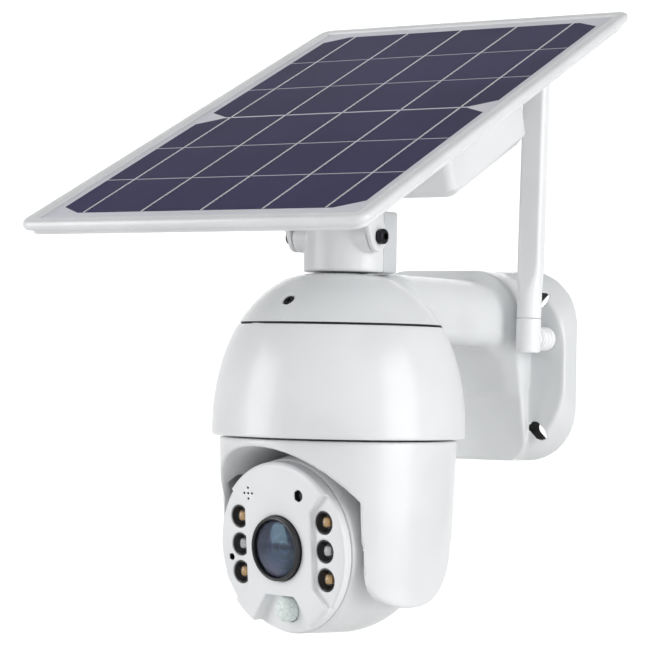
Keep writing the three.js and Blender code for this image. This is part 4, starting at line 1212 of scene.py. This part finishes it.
def make_antenna():
    a = AERIAL
    r = a["radius"]
    low, seam, blade, top = a["low"], a["ring"] - 0.15, a["blade"], a["top"]
    post = soften([(0, low, 0), (r, low, 0.9), (r, seam, 0.35), (0, seam, 0)])
    neck = soften([(0, 0, 0), (r - 1.5, 0, 0), (r - 1.5, r + 0.8, 0), (0, r + 0.8, 0)])
    shape = Shape().add(turned(post, 64)).add(turned(neck, 48), 0, ALONG_Y)
    shape.piece(
        "antenna_elbow", ANTENNA, [PAINTS["antenna"]], "antenna", ["antenna_knuckle"], "white_gloss"
    )

    def loop(height, share, inset=0.0):
        half_x = r + (a["half_x"] - r) * share - inset
        half_y = r + (a["half_y"] - r) * share - inset
        corner = r + (a["corner"] - r) * share - inset
        return frame_loop(half_x, half_y, corner, height, steps=9)

    loops = [loop(a["ring"] + 0.15, 0, 0.35), loop(a["ring"] + 0.5, 0)]
    loops += [loop(blade + h, share) for h, share in [(-2, 0), (2, 0.35), (7, 0.8), (11, 0.97), (14, 1)]]
    loops += [loop(h, 1) for h in np.linspace(blade + 24, top - 1, 8)]
    loops += [loop(top - 0.3, 1, 0.35), loop(top, 1, 1.1)]
    Shape().add(skin(loops)).piece(
        "antenna_whip", ANTENNA, [PAINTS["antenna"]], "antenna", ["antenna_blade"], "white_gloss", 32
    )
    start, end, ribs, groove = 7.2, 19.0, 3, r - 1.0
    pitch = (end - start - 0.6) / ribs
    profile = [(0, start, 0)]
    for i in range(ribs):
        y = start + i * pitch
        profile += [(groove, y, 0.2), (groove, y + 0.6, 0.2)]
        profile += [(r, y + 0.8, 0.7), (r, y + pitch - 0.1, 0.7)]
    profile += [(r - 1.2, end - 0.5, 0.2), (r - 1.2, end, 0.2), (0, end, 0)]
    home = place(joint_origin("antenna_swivel"))
    Shape().add(turned(soften(profile, degrees=20), 72), 0, ALONG_Y).piece(
        "antenna_collar", home, [PAINTS["antenna"]], "housing", ["antenna_nut"], "white_gloss", 40
    )


# ---------- inner parts, as the frame has them ----------

def finish_inner_parts():
    # the cap screw is painted black as painted shade for its dark pocket
    repaint("blackened", "cap_screw")
    repaint("steel", "pan_motor", "tilt_motor", "tilt_pin", "pir_sensor")
    repaint("rubber", "seam_gasket")
    repaint("board", "main_board", "charge_board", "lamp_board", "sensor_board")
    repaint("nylon", "pan_bearing", "pan_gear", "pan_pinion", "tilt_gear", "tilt_bush", "tilt_pinion")
    repaint("black", "speaker", "image_sensor", "light_sensor", "microphone")
    repaint("wrap", *[f"battery_cell_{i}" for i in range(1, 5)])


# ---------- studio ----------

VIEW_TURN = 31.75  # degrees about Z, the way the view and the backdrop face


def soft_light(name, place_m, look_at_m, size_m, watts):
    data = bpy.data.lights.new(name, "AREA")
    data.shape = "RECTANGLE"
    data.size, data.size_y = size_m
    data.energy = watts
    lamp = bpy.data.objects.new(name, data)
    lamp.location = place_m
    lamp.rotation_euler = (Vector(look_at_m) - Vector(place_m)).to_track_quat("-Z", "Y").to_euler()
    bpy.context.scene.collection.objects.link(lamp)


def make_studio():
    floor_z, back, reach, bend = -0.42, 2.2, 4.5, 0.6
    profile = soften([(-reach, floor_z, 0), (back, floor_z, bend), (back, 3.2, 0)], degrees=5)
    points = [(x, y, z) for x in (-reach, reach) for y, z in profile]
    count = len(profile)
    faces = [(i, i + 1, count + i + 1, count + i) for i in range(count - 1)]
    mesh = bpy.data.meshes.new("studio_sweep")
    mesh.from_pydata(points, [], faces)
    mesh.transform(Matrix.Rotation(math.radians(VIEW_TURN), 4, "Z"))
    mesh.materials.append(studio_white("studio_white", (0.92, 0.92, 0.92)))
    mesh.shade_smooth()
    sweep = bpy.data.objects.new("studio_sweep", mesh)
    bpy.context.scene.collection.objects.link(sweep)

    middle = (0, -0.13, 0.0)
    soft_light("right_softbox", (1.7, -0.15, 0.35), middle, (1.0, 1.4), 18)
    soft_light("right_front_softbox", (1.3, -1.2, 0.5), middle, (0.9, 1.2), 3)
    soft_light("left_softbox", (-1.1, -1.2, 0.4), middle, (0.8, 1.4), 13)
    soft_light("backdrop_light", (-0.45, 0.95, 0.85), (-1.15, 1.9, 0.05), (1.8, 0.4), 15)
    world = bpy.data.worlds.new("studio")
    world.use_nodes = True
    sky = world.node_tree.nodes["Background"]
    sky.inputs["Color"].default_value = (1, 1, 1, 1)
    sky.inputs["Strength"].default_value = 0.34
    bpy.context.scene.world = world
    bpy.context.scene.view_settings.view_transform = "Standard"


def make_view():
    """A long lens, a little over a metre off, from the front and right, level with the dome."""
    data = bpy.data.cameras.new("view")
    data.sensor_width = 36
    data.lens = 136.06
    data.clip_start, data.clip_end = 0.05, 20
    view = bpy.data.objects.new("view", data)
    azimuth, up, roll = math.radians(VIEW_TURN), math.radians(0.96), math.radians(1.11)
    turn = Matrix.Rotation(azimuth, 4, "Z") @ Matrix.Rotation(math.pi / 2 + up, 4, "X")
    turn = turn @ Matrix.Rotation(roll, 4, "Z")
    view.matrix_world = Matrix.Translation((0.59617, -1.10518, -0.00207)) @ turn
    bpy.context.scene.collection.objects.link(view)
    bpy.context.scene.camera = view


# ---------- the add-on ----------

class CameraSettings(bpy.types.PropertyGroup):
    """Sizes and colours that a user may change."""

    surface_step: bpy.props.FloatProperty(
        name="Surface Step", description="Size of the faces on the carved mouldings, in millimetres",
        default=1.0, min=0.9, max=3.0,
    )
    cell_height: bpy.props.FloatProperty(
        name="Cell Height", description="Height of one row of solar cells, in millimetres",
        default=42.0, min=20.0, max=43.0,
    )
    shell: bpy.props.FloatVectorProperty(
        name="Shell", description="Colour of the dome, yoke and head", subtype="COLOR",
        default=(0.80, 0.81, 0.82), min=0.0, max=1.0,
    )
    housing: bpy.props.FloatVectorProperty(
        name="Housing", description="Colour of the cap, arm and wall plate", subtype="COLOR",
        default=(0.75, 0.765, 0.775), min=0.0, max=1.0,
    )


def settings():
    return bpy.context.scene.solar_camera


class CAMERA_OT_finishes(bpy.types.Operator):
    """Make every material"""

    bl_idname = "camera.finishes"
    bl_label = "Mix Finishes"

    def execute(self, context):
        mix_paints()
        return {"FINISHED"}


class CAMERA_OT_view(bpy.types.Operator):
    """Place the view's camera"""

    bl_idname = "camera.view"
    bl_label = "Set View"

    def execute(self, context):
        make_view()
        return {"FINISHED"}


class CAMERA_OT_dome(bpy.types.Operator):
    """Make the dome cover"""

    bl_idname = "camera.dome"
    bl_label = "Dome"

    def execute(self, context):
        make_dome()
        return {"FINISHED"}


class CAMERA_OT_housing(bpy.types.Operator):
    """Carve the cap, arm and wall plate"""

    bl_idname = "camera.housing"
    bl_label = "Upper Housing"

    def execute(self, context):
        make_upper_housing()
        return {"FINISHED"}


class CAMERA_OT_mast(bpy.types.Operator):
    """Make the mast's shells and bolts"""

    bl_idname = "camera.mast"
    bl_label = "Mast"

    def execute(self, context):
        make_mast()
        return {"FINISHED"}


class CAMERA_OT_yoke(bpy.types.Operator):
    """Carve the yoke and its rear cover"""

    bl_idname = "camera.yoke"
    bl_label = "Yoke"

    def execute(self, context):
        make_yoke()
        return {"FINISHED"}


class CAMERA_OT_head(bpy.types.Operator):
    """Make the ball and its face"""

    bl_idname = "camera.head"
    bl_label = "Camera Head"

    def execute(self, context):
        make_ball()
        make_face()
        return {"FINISHED"}


class CAMERA_OT_lens(bpy.types.Operator):
    """Make the lens hood and its glass"""

    bl_idname = "camera.lens"
    bl_label = "Lens"

    def execute(self, context):
        make_lens()
        return {"FINISHED"}


class CAMERA_OT_lamps(bpy.types.Operator):
    """Make the lamp cups, chips and clear domes"""

    bl_idname = "camera.lamps"
    bl_label = "Lamps"

    def execute(self, context):
        make_lamps()
        return {"FINISHED"}


class CAMERA_OT_motion_sensor(bpy.types.Operator):
    """Make the milky dome of the motion sensor"""

    bl_idname = "camera.motion_sensor"
    bl_label = "Motion Sensor"

    def execute(self, context):
        make_pir()
        return {"FINISHED"}


class CAMERA_OT_panel(bpy.types.Operator):
    """Make the panel's rim, backsheet, tray and cells"""

    bl_idname = "camera.panel"
    bl_label = "Solar Panel"

    def execute(self, context):
        make_panel_frame()
        make_solar_cells()
        return {"FINISHED"}


class CAMERA_OT_battery(bpy.types.Operator):
    """Make the battery box"""

    bl_idname = "camera.battery"
    bl_label = "Battery Box"

    def execute(self, context):
        make_battery_box()
        return {"FINISHED"}


class CAMERA_OT_bracket(bpy.types.Operator):
    """Carve the panel's ears"""

    bl_idname = "camera.bracket"
    bl_label = "Bracket"

    def execute(self, context):
        make_bracket()
        return {"FINISHED"}


class CAMERA_OT_antenna(bpy.types.Operator):
    """Make the antenna and its collar"""

    bl_idname = "camera.antenna"
    bl_label = "Antenna"

    def execute(self, context):
        make_antenna()
        return {"FINISHED"}


class CAMERA_OT_inside(bpy.types.Operator):
    """Give the inner parts their finishes"""

    bl_idname = "camera.inside"
    bl_label = "Inner Parts"

    def execute(self, context):
        finish_inner_parts()
        return {"FINISHED"}


class CAMERA_OT_stage(bpy.types.Operator):
    """Make the floor, backdrop and lights"""

    bl_idname = "camera.stage"
    bl_label = "Stage"

    def execute(self, context):
        make_studio()
        return {"FINISHED"}


PIECES = [
    CAMERA_OT_finishes, CAMERA_OT_view, CAMERA_OT_dome, CAMERA_OT_housing, CAMERA_OT_mast,
    CAMERA_OT_yoke, CAMERA_OT_head, CAMERA_OT_lens, CAMERA_OT_lamps, CAMERA_OT_motion_sensor,
    CAMERA_OT_panel, CAMERA_OT_battery, CAMERA_OT_bracket, CAMERA_OT_antenna, CAMERA_OT_inside,
    CAMERA_OT_stage,
]


class CAMERA_PT_pieces(bpy.types.Panel):
    """Lists the settings and the pieces in the sidebar."""

    bl_label = "Solar Camera"
    bl_space_type = "VIEW_3D"
    bl_region_type = "UI"
    bl_category = "Camera"

    def draw(self, context):
        for name in CameraSettings.__annotations__:
            self.layout.prop(context.scene.solar_camera, name)
        for piece in PIECES:
            self.layout.operator(piece.bl_idname)


CLASSES = [CameraSettings, *PIECES, CAMERA_PT_pieces]


def register():
    for made in CLASSES:
        bpy.utils.register_class(made)
    bpy.types.Scene.solar_camera = bpy.props.PointerProperty(type=CameraSettings)


def unregister():
    del bpy.types.Scene.solar_camera
    for made in reversed(CLASSES):
        bpy.utils.unregister_class(made)


def main():
    register()
    for piece in PIECES:
        getattr(bpy.ops.camera, piece.bl_idname.split(".")[1])()


if __name__ == "__main__":
    main()
